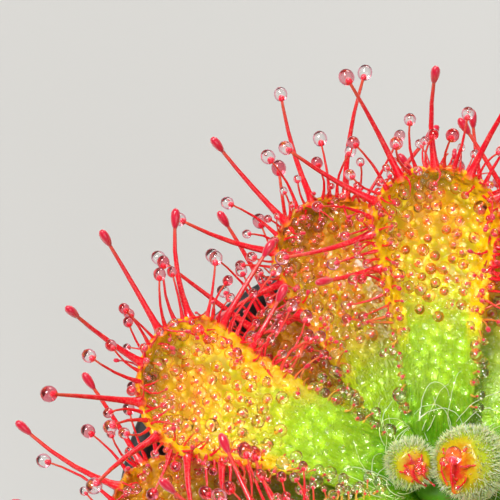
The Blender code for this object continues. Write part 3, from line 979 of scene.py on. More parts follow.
class Blade:
    """The leaf without its tentacles: a cupped blade on a narrower stalk, with a rounded rim."""

    AROUND, ROWS, UNDERSIDE_ROWS = 168, 15, 6
    RIM_TURNS = (0.2, 0.5, 0.8)
    RIM_BULGE, SCALLOP = 0.20 * MM, 0.07 * MM
    FOOT_DEPTH = 0.35
    DEWY_FROM, DEWY_INSIDE = 0.44, 0.84
    STALK_DEW, SPARKLE = (0.10, 0.60), (0.07, 0.60)

    def __init__(self, leaf, age):
        self.leaf, self.age = leaf, age
        self.verts, self.faces, self.middles = [], [], {}
        labels = ("along", "across", "edge", "age", "dewy", "stalk_dew", "sparkle", "outward")
        self.values = {label: [] for label in labels}

    def add(self, q, inward, depth, spot):
        """A point with the values that its finish and its dew read."""
        leaf = self.leaf
        along, across, _ = leaf.plan(q, inward)
        top = 1.0 if depth == 0.0 else 0.0
        blade = clamped((along - self.DEWY_FROM) / 0.10)
        low, high = self.STALK_DEW
        on_stalk = low < along < high and inward < 0.97
        side = 1.0 if q <= 1.0 else -1.0
        away = leaf.across * side * 0.8 + leaf.outward * 0.5
        values = {
            "along": along,
            "across": across / MM,
            "edge": inward,
            "age": self.age,
            "dewy": top * blade * (1.0 if inward < self.DEWY_INSIDE else 0.0),
            "stalk_dew": top * (1.0 if on_stalk else 0.0),
            "sparkle": top * (1.0 if self.SPARKLE[0] < along < self.SPARKLE[1] else 0.0),
            "outward": tuple(away.normalized()),
        }
        for label, value in values.items():
            self.values[label].append(value)
        self.verts.append(spot)
        return len(self.verts) - 1

    def middle(self, q, depth):
        """A point on the midrib, which both halves of the leaf share."""
        key = (round(min(q, 2.0 - q), 6), depth)
        if key not in self.middles:
            self.middles[key] = self.add(q, 0.0, depth, self.leaf.surface(q, 0.0, depth))
        return self.middles[key]

    def row(self, q):
        """The points from the midrib over the rim and back under the leaf."""
        leaf = self.leaf
        row = [self.middle(q, 0.0)]
        for step in range(1, self.ROWS + 1):
            inward = (step / self.ROWS) ** 0.85
            row.append(self.add(q, inward, 0.0, leaf.surface(q, inward, 0.0)))
        top, low = leaf.surface(q, 1.0, 0.0), leaf.surface(q, 1.0, 1.0)
        _, out, _ = leaf.directions(q, 1.0)
        share = clamped((leaf.margin_plan(q)[0] - 0.30) / 0.20)
        scallop = self.SCALLOP * share * math.cos(2.0 * math.pi * (q - 1.0) / leaf.LUMPS)
        for turn in self.RIM_TURNS:
            bulge = out * (self.RIM_BULGE * math.sin(math.pi * turn) + scallop)
            row.append(self.add(q, 1.0, turn, top.lerp(low, turn) + bulge))
        for step in range(self.UNDERSIDE_ROWS, 0, -1):
            inward = step / self.UNDERSIDE_ROWS
            row.append(self.add(q, inward, 1.0, leaf.surface(q, inward, 1.0)))
        row.append(self.middle(q, 1.0))
        return row

    def piece(self, name, material):
        rows = [self.row(2.0 * step / self.AROUND) for step in range(self.AROUND + 1)]
        for here, after in zip(rows, rows[1:]):
            for k in range(len(here) - 1):
                corners = []
                for vert in (here[k], after[k], after[k + 1], here[k + 1]):
                    if vert not in corners:
                        corners.append(vert)
                if len(corners) > 2:
                    self.faces.append(corners)
        first, last = rows[0], rows[-1]
        self.faces.append(first + last[-2:0:-1])
        for vert in set(first + last):
            self.verts[vert] = self.verts[vert] - self.leaf.outward * self.FOOT_DEPTH * MM
        obj = mesh_object(name, self.verts, self.faces, material, self.values)
        bm = bmesh.new()
        bm.from_mesh(obj.data)
        bmesh.ops.recalc_face_normals(bm, faces=bm.faces)
        bmesh.ops.triangulate(bm, faces=[f for f in bm.faces if len(f.verts) > 4])
        bm.to_mesh(obj.data)
        bm.free()
        return obj


class Guides:
    """Guide lines for tentacles and threads, kept as loose edges with values on each point."""

    def __init__(self):
        self.verts, self.edges = [], []
        labels = ("girth", "reach", "head_wide", "head_tall", "dew", "along", "tint", "aim")
        self.values = {label: [] for label in labels}

    def line(self, points, girths, head=(0.0, 0.0), dew=0.0, along=1.0, tint=0.5):
        """One guide. Its last point may carry a head, as half its width and half its height, and a drop."""
        start, end = len(self.verts), len(points) - 1
        for index, (point, girth) in enumerate(zip(points, girths)):
            ahead = points[index] - points[index - 1] if index else points[1] - points[0]
            wide, tall, drop = (*head, dew) if index == end else (0.0, 0.0, 0.0)
            entries = (girth, index / end, wide, tall, drop, along, tint, tuple(ahead.normalized()))
            for values, entry in zip(self.values.values(), entries):
                values.append(entry)
            self.verts.append(point)
            if index:
                self.edges.append((start + index - 1, start + index))

    def mesh(self):
        mesh = bpy.data.meshes.new("guides")
        mesh.from_pydata([tuple(v) for v in self.verts], self.edges, [])
        set_values(mesh, self.values)
        return mesh


def grow_stalks(name, guides, material, **inputs):
    return grow(name, guides.mesh(), stock()["stalks_on_guides"], **inputs, Material=stock()[material])


def grow_drops(name, guides, **inputs):
    return grow(name, guides.mesh(), stock()["drops_on_guides"], **inputs, Material=stock()["dew"])


def stalk_girths(shares, length, root, neck, flare=0.7):
    """Radius along a stalk: flared where it leaves the leaf, then an even taper."""
    girths = []
    for share in shares:
        wider = 1.0 + flare * math.exp(-max(share, 0.0) * length / (0.35 * MM))
        girths.append((root + (neck - root) * clamped(share) ** 0.8) * wider)
    return girths


def bent(root, way, lift, sway, length, shares):
    """Points of a stalk that leaves its root along way, curving up by lift and sideways by sway."""
    return [
        root + way * (length * share) + lift * (share * abs(share)) + sway * math.sin(math.pi * share)
        for share in shares
    ]


class LeafFringe:
    """The tentacles on one leaf's margin, as guide lines: stout ones with a head or a drop, and short."""

    # Long tentacles: how many, how far round the tip on each side, and the outermost ones' share of length
    LONG_COUNT, TIP_REACH, OUTERMOST = 9, 0.44, 0.75
    DRY_LENGTH = 0.91
    LONG_SHARES = (-0.03, 0.0, 0.04, 0.1, 0.25, 0.45, 0.7, 0.9, 1.0)
    MEDIUM_SHARES = (-0.04, 0.0, 0.08, 0.25, 0.5, 0.8, 1.0)
    SMALL_SHARES = (0.0, 0.15, 0.4, 0.7, 1.0)
    # Half width and half height of a head: inside a long tentacle's drop, and of the thinner ones
    IN_DROP = (0.17 * MM, 0.24 * MM)
    SMALL_HEADS = {"clear": (0.07, 0.09), "dry": (0.22, 0.27), "dewy": (0.10, 0.13)}
    # Short tentacles: up to where drops are clear, and the shares of bare and of dry ones
    CLEAR_BELOW, BARE, DRY = 0.42, 0.16, 0.40
    FLANK_FROM, FLANK_TO, MEDIUM_ABOVE = 0.54, 0.10, 0.38
    # Rows inside the margin: how far from the midrib, where they begin, spacing, least and greatest length
    INNER_ROWS = ((0.97, 0.34, 0.036, 0.8, 1.9), (0.86, 0.36, 0.046, 0.6, 1.4))

    def __init__(self, name, leaf):
        self.leaf = leaf
        self.dice = random.Random(name)
        self.sizes = bpy.context.scene.sundew_tentacles
        self.stout, self.short = Guides(), Guides()

    def long(self, q, length, drop):
        """A long tentacle, as in the solid model: a dry flattened head, or a drop in its place."""
        t, dice = self.sizes, self.dice
        along, out, up = self.leaf.directions(q, 1.0)
        root = self.leaf.surface(q, 1.0, 0.5)
        end = 1.0 if drop else self.DRY_LENGTH
        shares = [end * share for share in self.LONG_SHARES]
        sway = along * dice.uniform(-0.05, 0.05) * length
        points = bent(root, out, up * 0.20 * length, sway, length, shares)
        girths = stalk_girths(shares, length, t.root_radius, t.neck_radius)
        place = self.leaf.margin_plan(q)[0]
        if drop:
            size = dice.uniform(0.95, 1.2)
            self.stout.line(points, girths, self.IN_DROP, t.dew_radius * size, place, self.pink())
        else:
            self.stout.line(points, girths, (t.head_radius, 0.5 * t.head_length), 0.0, place, 1.0)

    def medium(self, q, length, stand, lean=0.16):
        """A thinner tentacle between the long ones, always with a drop."""
        t, dice = self.sizes, self.dice
        along, out, up = self.leaf.directions(q, 1.0)
        root = self.leaf.surface(q, 1.0, dice.uniform(0.2, 0.5))
        stand = math.radians(stand)
        way = (out * math.cos(stand) + up * math.sin(stand) + along * dice.uniform(-lean, lean)).normalized()
        lift = up * dice.uniform(0.0, 0.14) * length
        sway = along * dice.uniform(-0.5, 0.5) * lean * length
        points = bent(root, way, lift, sway, length, self.MEDIUM_SHARES)
        stout = clamped(length / (3.6 * MM), 0.5)
        root_radius, neck_radius = 0.54 * stout * t.root_radius, 0.62 * t.neck_radius
        girths = stalk_girths(self.MEDIUM_SHARES, length, root_radius, neck_radius, 0.6)
        size = dice.uniform(0.78, 1.12) * (0.35 + 0.65 * stout)
        head = (0.16 * MM * size, 0.22 * MM * size)
        self.stout.line(points, girths, head, t.dew_radius * size, self.leaf.margin_plan(q)[0], self.pink())

    def pink(self):
        """The tint of a drop on a red tentacle: a painted pink rim, standing in for what the drop refracts at
        its edge, on most of them, ruby all through on the rest.
        """
        return 1.0 if self.dice.random() < 0.6 else self.dice.uniform(1.3, 1.6)

    def small(self, q, inward, length):
        """A short thin tentacle that rises from the inner side of the margin, most often under a drop."""
        t, dice = self.sizes, self.dice
        along, out, up = self.leaf.directions(q, inward)
        skin = self.leaf.skin(q, inward)
        root = self.leaf.surface(q, inward, 0.0) - skin * 0.08 * MM
        lean = dice.uniform(0.1, 1.5) if inward > 0.9 else dice.uniform(-0.2, 0.8)
        way = (skin + out * lean + along * dice.uniform(-0.45, 0.45)).normalized()
        sway = (along * dice.uniform(-0.20, 0.20) + up * dice.uniform(-0.12, 0.12)) * length
        points = bent(root, way, out * dice.uniform(-0.25, 0.25) * length, sway, length, self.SMALL_SHARES)
        girths = stalk_girths(self.SMALL_SHARES, length, 0.085 * MM, 0.045 * MM, 0.5)
        place = self.leaf.margin_plan(q)[0]
        kind = dice.random()
        size = dice.uniform(0.6, 1.05)
        heads = {label: (wide * MM, tall * MM) for label, (wide, tall) in self.SMALL_HEADS.items()}
        if place < self.CLEAR_BELOW:
            clear = dice.uniform(0.24, 0.46) * MM
            self.short.line(points, girths, heads["clear"], clear, place, 0.12 * dice.random())
        elif kind < self.BARE:
            self.short.line(points, girths, (0.0, 0.0), 0.0, place, 0.8)
        elif kind < self.DRY:
            wide, tall = heads["dry"]
            self.short.line(points, girths, (wide * size, tall * size), 0.0, place, 1.0)
        else:
            tint = 0.6 + 0.9 * dice.random() if place > 0.6 else 0.15 + 0.5 * dice.random()
            self.short.line(points, girths, heads["dewy"], 0.72 * t.dew_radius * size, place, tint)

    def grow(self, drop_share):
        """Places them all, from the long ones round the tip to the short ones beside the leaf's stalk."""
        self.grow_tip(drop_share)
        for side in (-1.0, 1.0):
            self.grow_flank(side)
        for row in self.INNER_ROWS:
            self.grow_inner_row(*row)
        return self.stout, self.short

    def grow_tip(self, drop_share):
        """Long tentacles round the tip, with thinner ones between each two."""
        t, dice = self.sizes, self.dice
        last = self.LONG_COUNT - 1
        for index in range(self.LONG_COUNT):
            offset = self.TIP_REACH * (2.0 * index / last - 1.0)
            length = t.shortest + (t.longest - t.shortest) * (1.0 - abs(offset) / self.TIP_REACH) ** 0.6
            length *= 1.0 + 0.08 * math.cos(2.4 * index)
            if index in (0, last):
                length *= self.OUTERMOST
            self.long(1.0 + offset, length, dice.random() < drop_share)
            if index < last:
                self.medium(1.0 + offset + 0.055, dice.uniform(0.45, 0.80) * length, dice.uniform(2.0, 24.0))
            for shift in (0.027, 0.083):
                q = 1.0 + offset + shift + dice.uniform(-0.008, 0.008)
                if index < last and dice.random() < 0.9:
                    self.medium(q, dice.uniform(0.22, 0.50) * length, dice.uniform(10.0, 48.0), 0.25)

    def grow_flank(self, side):
        """Ever shorter tentacles down one flank of the leaf, as far as the foot of its stalk."""
        dice, q = self.dice, self.FLANK_FROM
        while q > self.FLANK_TO:
            length = (0.8 + 2.5 * (max(q - 0.12, 0.0) / 0.42) ** 1.5) * MM * dice.uniform(0.6, 1.2)
            turned = q if side > 0 else 2.0 - q
            if q > self.MEDIUM_ABOVE:
                self.medium(turned, length, dice.uniform(-15.0, 50.0), 0.35)
            else:
                self.small(turned, 0.97, 0.85 * length)
            q -= dice.uniform(0.022, 0.038)

    def grow_inner_row(self, inward, start, spacing, shortest, longest):
        """A row of short tentacles round the inner side of the margin."""
        dice, q = self.dice, start
        while q < 2.0 - start:
            near_tip = 1.0 - min(abs(q - 1.0) / 0.7, 1.0)
            length = (shortest + (longest - shortest) * near_tip ** 0.5) * MM * dice.uniform(0.7, 1.15)
            self.small(q, inward, length)
            q += spacing * dice.uniform(0.8, 1.25)


class SUNDEW_OT_leaves(bpy.types.Operator):
    """Make the fourteen leaves with their tentacles, glands and dew"""

    bl_idname = "sundew.leaves"
    bl_label = "Leaves"

    # Share of the long tentacles that carry a drop, where it isn't the usual one
    DROP_SHARES = {"leaf_02": 0.55, "leaf_07": 0.45, "leaf_04": 0.25}
    USUAL_DROP_SHARE = 0.3

    # Drops on the face: piece, mask, spacing, seed, height, radius, smallest share, segments and rings, tint
    FACE_DEW = (
        ("between_dew", "dewy", 0.42, 20, 0.16, 0.26, 0.50, (7, 4), 0.45),
        ("stalk_dew", "stalk_dew", 0.64, 40, 0.26, None, 0.30, (9, 6), 0.05),
        ("dew_beads", "sparkle", 0.46, 70, 0.05, 0.13, 0.4, (6, 3), 0.0),
    )

    def execute(self, context):
        kit, sizes = stock(), context.scene.sundew_leaves
        sides = context.scene.sundew_tentacles.sides
        for tier, (name, leaf, age) in enumerate(leaf_forms()):
            blade = Blade(leaf, age).piece(f"{name}_blade", kit["leaf"])
            stout, short = LeafFringe(name, leaf).grow(self.DROP_SHARES.get(name, self.USUAL_DROP_SHARE))
            fringe = (
                grow_stalks(f"{name}_tentacles", stout, "tentacle", Sides=sides),
                grow_stalks(
                    f"{name}_short_tentacles", short, "tentacle", Sides=4, Head_Sides=6, Head_Rings=4,
                ),
                grow_drops(f"{name}_dew", stout),
                grow_drops(f"{name}_small_dew", short, Segments=9, Rings=6),
            )
            settle(blade, "leaf", name)
            for piece in (*fringe, *self.surface_dew(name, tier, blade, kit, sizes)):
                settle(piece, "leaf")
        return {"FINISHED"}

    def surface_dew(self, name, tier, blade, kit, sizes):
        """Drops on the face: over short glands in the blade, smaller between them, large on the stalk."""
        over = {
            "Mask": "dewy", "Spacing": sizes.gland_spacing, "Seed": tier + 1, "Height": 0.42 * MM,
            "Height_at_Margin": 0.55 * MM, "Stalk_Radius": 0.05 * MM, "Gland_Radius": 0.10 * MM,
        }
        yield grow(f"{name}_glands", blade.data.copy(), kit["glands"], **over, Material=kit["tentacle"])
        wet = {"Drops_Only": True, "Material": kit["dew"]}
        yield grow(
            f"{name}_gland_dew", blade.data.copy(), kit["glands"], **over, **wet,
            Drop_Radius=sizes.gland_drop, Tint=0.52,
        )
        for label, mask, spacing, seed, height, radius, smallest, (segments, rings), tint in self.FACE_DEW:
            radius = sizes.petiole_drop / MM if radius is None else radius
            yield grow(
                f"{name}_{label}", blade.data.copy(), kit["glands"], **wet, Mask=mask, Spacing=spacing * MM,
                Seed=tier + seed, Height=height * MM, Height_at_Margin=1.6 * height * MM,
                Drop_Radius=radius * MM, Smallest_Drop=smallest, Segments=segments, Rings=rings, Tint=tint,
            )


class YoungLeaf:
    """A young leaf rolled into a ball, with an open face that is dented in and looks one way."""

    FOOT = 0.55 * MM
    SEGMENTS, RINGS = 56, 40
    DENT, DENT_FROM = 0.26, 0.70

    def __init__(self, across, along, radius, lean, face):
        self.seed = radius
        self.ball = radius * MM
        centre = 0.6 * MM + self.ball * math.cos(math.asin(self.FOOT / self.ball))
        turn = Matrix.Rotation(math.radians(lean), 4, "Y")
        low = STEM_TOP + CLEARANCE + self.FOOT * abs(math.sin(math.radians(lean)))
        place = Matrix.Translation((across * MM, along * MM, low)) @ turn
        self.middle = place @ Vector((0.0, 0.0, centre))
        self.look = Vector(face).normalized()
        self.verts, self.values = [], {"face": [], "fuzzy": []}

    def add(self, direction):
        """A point of the skin. The 'face' value rises to 1 where the ball opens, and 'fuzzy' falls to 0."""
        share = direction.dot(self.look)
        swell = noise.noise(direction * 2.3 + Vector((self.seed, 0.0, 0.0)))
        fine = noise.noise(direction * 7.0)
        dent = self.DENT * max(0.0, (share - self.DENT_FROM) / 0.30) ** 1.5
        self.verts.append(self.middle + direction * (self.ball * (1.0 + 0.05 * swell + 0.02 * fine - dent)))
        self.values["face"].append(max(0.0, (share + 0.25) / 1.25))
        self.values["fuzzy"].append(clamped((0.80 - share) / 0.35))

    def piece(self, name, material):
        self.add(Vector((0.0, 0.0, -1.0)))
        for ring in range(1, self.RINGS):
            tilt = math.pi * ring / self.RINGS
            for step in range(self.SEGMENTS):
                angle = 2.0 * math.pi * step / self.SEGMENTS
                level = math.sin(tilt)
                self.add(Vector((level * math.cos(angle), level * math.sin(angle), -math.cos(tilt))))
        self.add(Vector((0.0, 0.0, 1.0)))
        faces, top = [], len(self.verts) - 1
        last = 1 + (self.RINGS - 2) * self.SEGMENTS
        for step in range(self.SEGMENTS):
            after = (step + 1) % self.SEGMENTS
            faces.append((0, 1 + after, 1 + step))
            faces.append((last + step, last + after, top))
            for ring in range(self.RINGS - 2):
                a, b = 1 + ring * self.SEGMENTS, 1 + (ring + 1) * self.SEGMENTS
                faces.append((a + step, a + after, b + after, b + step))
        return mesh_object(name, self.verts, faces, material, self.values)


def spline(a, b, c, d, part):
    """A smooth curve from b to c, with a before and d after."""
    square = 2.0 * a - 5.0 * b + 4.0 * c - d
    cube = 3.0 * b - a - 3.0 * c + d
    return 0.5 * (2.0 * b + (c - a) * part + square * part ** 2 + cube * part ** 3)


class SUNDEW_OT_young_leaves(bpy.types.Operator):
    """Make the two curled young leaves with their fuzz, inner tentacles and drops"""

    bl_idname = "sundew.young_leaves"
    bl_label = "Young Leaves"

    # Rings of inner tentacles: how many, how far from the middle of the face, and their greatest length
    INNER_RINGS = ((3, 0.50, 0.7), (5, 0.74, 0.8))
    INNER_SHARES = (-0.1, 0.0, 0.2, 0.45, 0.7, 1.0)

    # Long bent tentacles over each face: four spots across and up it, in ball radii, then girth and dew
    ARCS = (
        (
            (((-0.05, 0.0), (0.02, -0.45), (0.30, -0.76), (0.62, -0.97)), 0.17, 0.0),
            (((0.55, 0.06), (0.50, -0.28), (0.62, -0.60), (1.0, -0.95)), 0.12, 0.0),
        ),
        (
            (((-0.50, -0.75), (-0.60, -0.45), (-0.62, -0.15), (-0.58, 0.12)), 0.12, 0.52),
            (((-0.70, -0.60), (-0.82, -0.35), (-0.88, -0.12), (-0.84, 0.02)), 0.08, 0.28),
            (((-0.20, -0.30), (-0.22, -0.45), (-0.32, -0.58), (-0.40, -0.66)), 0.08, 0.32),
        ),
    )
    ARC_STEPS = 12
    ASIDE, ABOVE, AHEAD = Vector((1.0, 0.0, 0.0)), Vector((0.0, 0.87, 0.5)), Vector((0.0, -0.5, 0.87))

    def execute(self, context):
        kit = stock()
        for index, (name, *form) in enumerate(YOUNG_LEAVES):
            leaf = YoungLeaf(*form)
            obj = leaf.piece(f"{name}_ball", kit["young"])
            fuzz = grow(
                f"{name}_fuzz", obj.data.copy(), kit["bits"], Mask="fuzzy", Density=6.6e7, Seed=index + 3,
                Width=0.034 * MM, Height=0.38 * MM, Disorder=0.50, Sides=3, Material=kit["fuzz"],
            )
            guides = Guides()
            self.add_inner(guides, leaf, random.Random(31 + index))
            for spots, girth, dew in self.ARCS[index]:
                self.add_arc(guides, leaf, spots, girth * MM, dew * MM)
            tentacles = grow_stalks(f"{name}_tentacles", guides, "tentacle")
            dew = grow_drops(f"{name}_dew", guides)
            settle(obj, "young_leaf", name)
            for piece in (fuzz, tentacles, dew):
                settle(piece, "young_leaf")
        return {"FINISHED"}

    def add_inner(self, guides, leaf, dice):
        """Tentacles that bend in over the open face, a few of them with dew."""
        side = leaf.look.cross(Vector((0.0, 0.0, 1.0))).normalized()
        other = leaf.look.cross(side).normalized()
        for count, spread, longest in self.INNER_RINGS:
            for step in range(count):
                angle = 2.0 * math.pi * (step + dice.uniform(-0.2, 0.2)) / count
                rim = side * math.cos(angle) + other * math.sin(angle)
                out = (leaf.look * math.cos(spread) + rim * math.sin(spread)).normalized()
                root = leaf.middle + out * leaf.ball * 0.88
                length = longest * MM * dice.uniform(0.7, 1.1)
                points = [
                    root + out * (length * share * 0.75) - rim * (length * 0.75 * max(share, 0.0) ** 2)
                    for share in self.INNER_SHARES
                ]
                dew = 0.24 * MM if dice.random() < 0.25 else 0.0
                girths = stalk_girths(self.INNER_SHARES, length, 0.06 * MM, 0.04 * MM)
                guides.line(points, girths, (0.09 * MM, 0.12 * MM), dew)

    def add_arc(self, guides, leaf, spots, girth, dew):
        """One long tentacle bent over the face, close to the ball's skin."""
        shares = [number / self.ARC_STEPS for number in range(self.ARC_STEPS + 1)]
        points = []
        for share in shares:
            at = share * 3.0
            low = min(int(at), 2)
            here = [spots[max(low - 1, 0)], spots[low], spots[low + 1], spots[min(low + 2, 3)]]
            across, up = (spline(*(spot[k] for spot in here), at - low) for k in range(2))
            rise = math.sqrt(max(0.0, 1.0 - across * across - up * up))
            toward = self.ASIDE * across + self.ABOVE * up + self.AHEAD * (rise + 0.08)
            points.append(leaf.middle + toward * leaf.ball)
        head = (0.5 * dew, 0.6 * dew) if dew else (0.11 * MM, 0.15 * MM)
        guides.line(points, stalk_girths(shares, 3.0 * MM, girth, 0.5 * girth, 0.2), head, dew, tint=1.0)


def lathe(profile, steps):
    """Vertices and faces of a profile of radii and heights turned about Z, closed where it meets the axis."""
    verts, faces, rings = [], [], []
    for radius, height in profile:
        count = steps if radius > 0.0 else 1
        rings.append(list(range(len(verts), len(verts) + count)))
        for step in range(count):
            angle = 2.0 * math.pi * step / steps
            verts.append((radius * math.cos(angle), radius * math.sin(angle), height))
    for low, high in zip(rings, rings[1:]):
        for step in range(steps):
            after = (step + 1) % steps
            if len(low) == 1:
                faces.append((low[0], high[after], high[step]))
            elif len(high) == 1:
                faces.append((low[step], low[after], high[0]))
            else:
                faces.append((low[step], low[after], high[after], high[step]))
    return verts, faces


class SUNDEW_OT_stem(bpy.types.Operator):
    """Make the stem with its root, and the fine pale threads at the feet of the leaves"""

    bl_idname = "sundew.stem"
    bl_label = "Stem and Threads"

    # Radius and height of the root and the stem, in millimetres, from the root's tip up
    PROFILE = (
        (0.0, 14.0), (0.25, 14.2), (0.4, 14.6), (0.55, 17.0), (0.78, 20.0), (1.05, 25.0), (1.3, 29.1),
        (1.3, 30.5), (1.5, 30.8), (1.9, 31.1), (2.0, 31.5), (2.0, 34.0), (2.0, 36.5), (2.0, 37.5),
        (1.85, 37.9), (1.5, 38.08), (0.8, 38.1), (0.0, 38.1),
    )
    ROOT_RADIUS = 1.3 * MM
    SIDES = 40
    THREAD_STEPS, THREAD_STEP, THREAD_RADIUS = 11, 0.30, 0.030 * MM

    def execute(self, context):
        verts, faces = lathe([(r * MM, z * MM) for r, z in self.PROFILE], self.SIDES)
        for index, (x, y, z) in enumerate(verts):
            if z > SOIL_TOP and math.hypot(x, y) > self.ROOT_RADIUS:
                wave = 0.05 * MM * noise.noise(Vector((x, y, z)) * 900.0)
                grow_by = 1.0 + wave / (0.98 * STEM_RADIUS)
                verts[index] = (x * grow_by, y * grow_by, z)
        settle(mesh_object("stem", verts, faces, stock()["stem"]), "stem", "stem_and_root")
        settle(grow_stalks("pale_threads", self.threads(), "fuzz", Sides=4), "young_leaf")
        return {"FINISHED"}

    def threads(self):
        """Curling threads that rise from the feet of the leaves and wander over their stalks."""
        guides = Guides()
        for tier, (name, leaf, _) in enumerate(leaf_forms()):
            dice = random.Random(f"threads {name}")
            for _ in range(10 if tier < 8 else 6):
                share = dice.uniform(0.01, 0.10)
                across = dice.choice((-1.0, 1.0)) * leaf.half_width(share) * dice.uniform(0.5, 1.0)
                points = [leaf.place(share, across, 0.10 * MM)]
                heading = dice.uniform(-1.2, 1.2)
                lift = dice.uniform(0.2, 1.1)
                curl = dice.uniform(-0.5, 0.5)
                for step in range(self.THREAD_STEPS):
                    heading += curl * 0.55 + dice.uniform(-0.3, 0.3)
                    along = leaf.outward * math.cos(heading) + leaf.across * math.sin(heading)
                    rise = lift * (1.0 - step / 7.0) + math.sin(math.radians(leaf.slope)) * math.cos(heading)
                    points.append(points[-1] + (along + leaf.up * rise) * self.THREAD_STEP * MM)
                girths = [
                    self.THREAD_RADIUS * (1.0 - 0.6 * step / self.THREAD_STEPS)
                    for step in range(self.THREAD_STEPS + 1)
                ]
                guides.line(points, girths, tint=dice.uniform(0.3, 1.0))
        return guides


class SUNDEW_OT_peat(bpy.types.Operator):
    """Make the peat that fills the pot, with crumbs and fibres on its surface"""

    bl_idname = "sundew.peat"
    bl_label = "Peat"

    # Radius and height of the peat's sides, in millimetres, from its underside up
    SIDES = ((0.0, 1.8), (12.9, 1.8), (16.9, 27.0), (16.95, 29.4))
    STEPS, RINGS = 180, 34
    ROOT_HOLE, HOLE_FLOOR = 1.6 * MM, 29.0 * MM
    FIBRES, FIBRE_STEPS, FIBRE_STEP, FIBRE_RADIUS = 170, 6, 0.42, 0.05 * MM

    def execute(self, context):
        kit = stock()
        hole, span = self.ROOT_HOLE, POT_RIM_RADIUS - POT_WALL - 1.2 * MM - self.ROOT_HOLE
        radii = [hole + span * (k / self.RINGS) for k in range(self.RINGS, 0, -1)] + [hole]
        profile = [(r * MM, z * MM) for r, z in self.SIDES]
        profile += [(r, SOIL_TOP) for r in radii]
        profile += [(hole, self.HOLE_FLOOR), (0.0, self.HOLE_FLOOR)]
        verts, faces = lathe(profile, self.STEPS)
        top = []
        for index, (x, y, z) in enumerate(verts):
            reach = math.hypot(x, y)
            above = z >= SOIL_TOP - 1e-7
            top.append(1.0 if above and reach > 1.7 * MM else 0.0)
            if above:
                place = Vector((x, y, 0.0))
                lumps = noise.noise(place * 420.0) * 0.45 + noise.noise(place * 1300.0) * 0.28
                rim = max(0.0, (reach - 15.0 * MM) / (2.0 * MM))
                verts[index] = (x, y, z + 0.15 * MM + lumps * MM * 0.7 - 0.35 * MM * min(rim, 1.0))
        peat = mesh_object("peat", verts, faces, kit["peat"], {"top": top})
        crumbs = grow(
            "peat_crumbs", peat.data.copy(), kit["bits"], Mask="top", Density=2.2e6, Seed=9,
            Width=0.26 * MM, Height=0.24 * MM, Disorder=1.0, Crumbs=True, Material=kit["peat"],
        )
        fibres = grow_stalks("peat_fibres", self.fibres(), "peat", Sides=4)
        settle(peat, "peat", "peat_soil")
        settle(crumbs, "peat")
        settle(fibres, "peat")
        return {"FINISHED"}

    def fibres(self):
        """Short crooked fibres that lie on the peat, none of them past its rim."""
        dice = random.Random(12)
        guides = Guides()
        for _ in range(self.FIBRES):
            angle, reach = dice.uniform(0.0, 2.0 * math.pi), 17.0 * MM * math.sqrt(dice.uniform(0.03, 0.85))
            heading = dice.uniform(0.0, 2.0 * math.pi)
            points = [Vector((reach * math.cos(angle), reach * math.sin(angle), SOIL_TOP + 0.35 * MM))]
            for _ in range(self.FIBRE_STEPS):
                heading += dice.uniform(-0.5, 0.5)
                hop = Vector((math.cos(heading), math.sin(heading), dice.uniform(-0.25, 0.25)))
                spot = points[-1] + hop * self.FIBRE_STEP * MM
                if math.hypot(spot.x, spot.y) > 17.2 * MM:
                    break
                points.append(spot)
            if len(points) > 2:
                guides.line(points, [self.FIBRE_RADIUS] * len(points), tint=dice.uniform(0.4, 1.0))
        return guides


def pot_wall_radius(height):
    share = min(height / (POT_HEIGHT - POT_RIM_BAND), 1.0)
    return POT_BASE_RADIUS + (POT_RIM_RADIUS - POT_RIM_STEP - POT_BASE_RADIUS) * share


def rounded(points, radius, steps=4):
    """A profile with each inner corner turned into a short arc."""
    done = [points[0]]
    for before, here, after in zip(points, points[1:], points[2:]):
        a, b, c = (Vector(p) for p in (before, here, after))
        cut = min(radius, 0.45 * (a - b).length, 0.45 * (c - b).length)
        start, end = b + (a - b).normalized() * cut, b + (c - b).normalized() * cut
        for step in range(steps + 1):
            part = step / steps
            spot = start.lerp(b, part).lerp(b.lerp(end, part), part)
            done.append((spot.x, spot.y))
    done.append(points[-1])
    return done


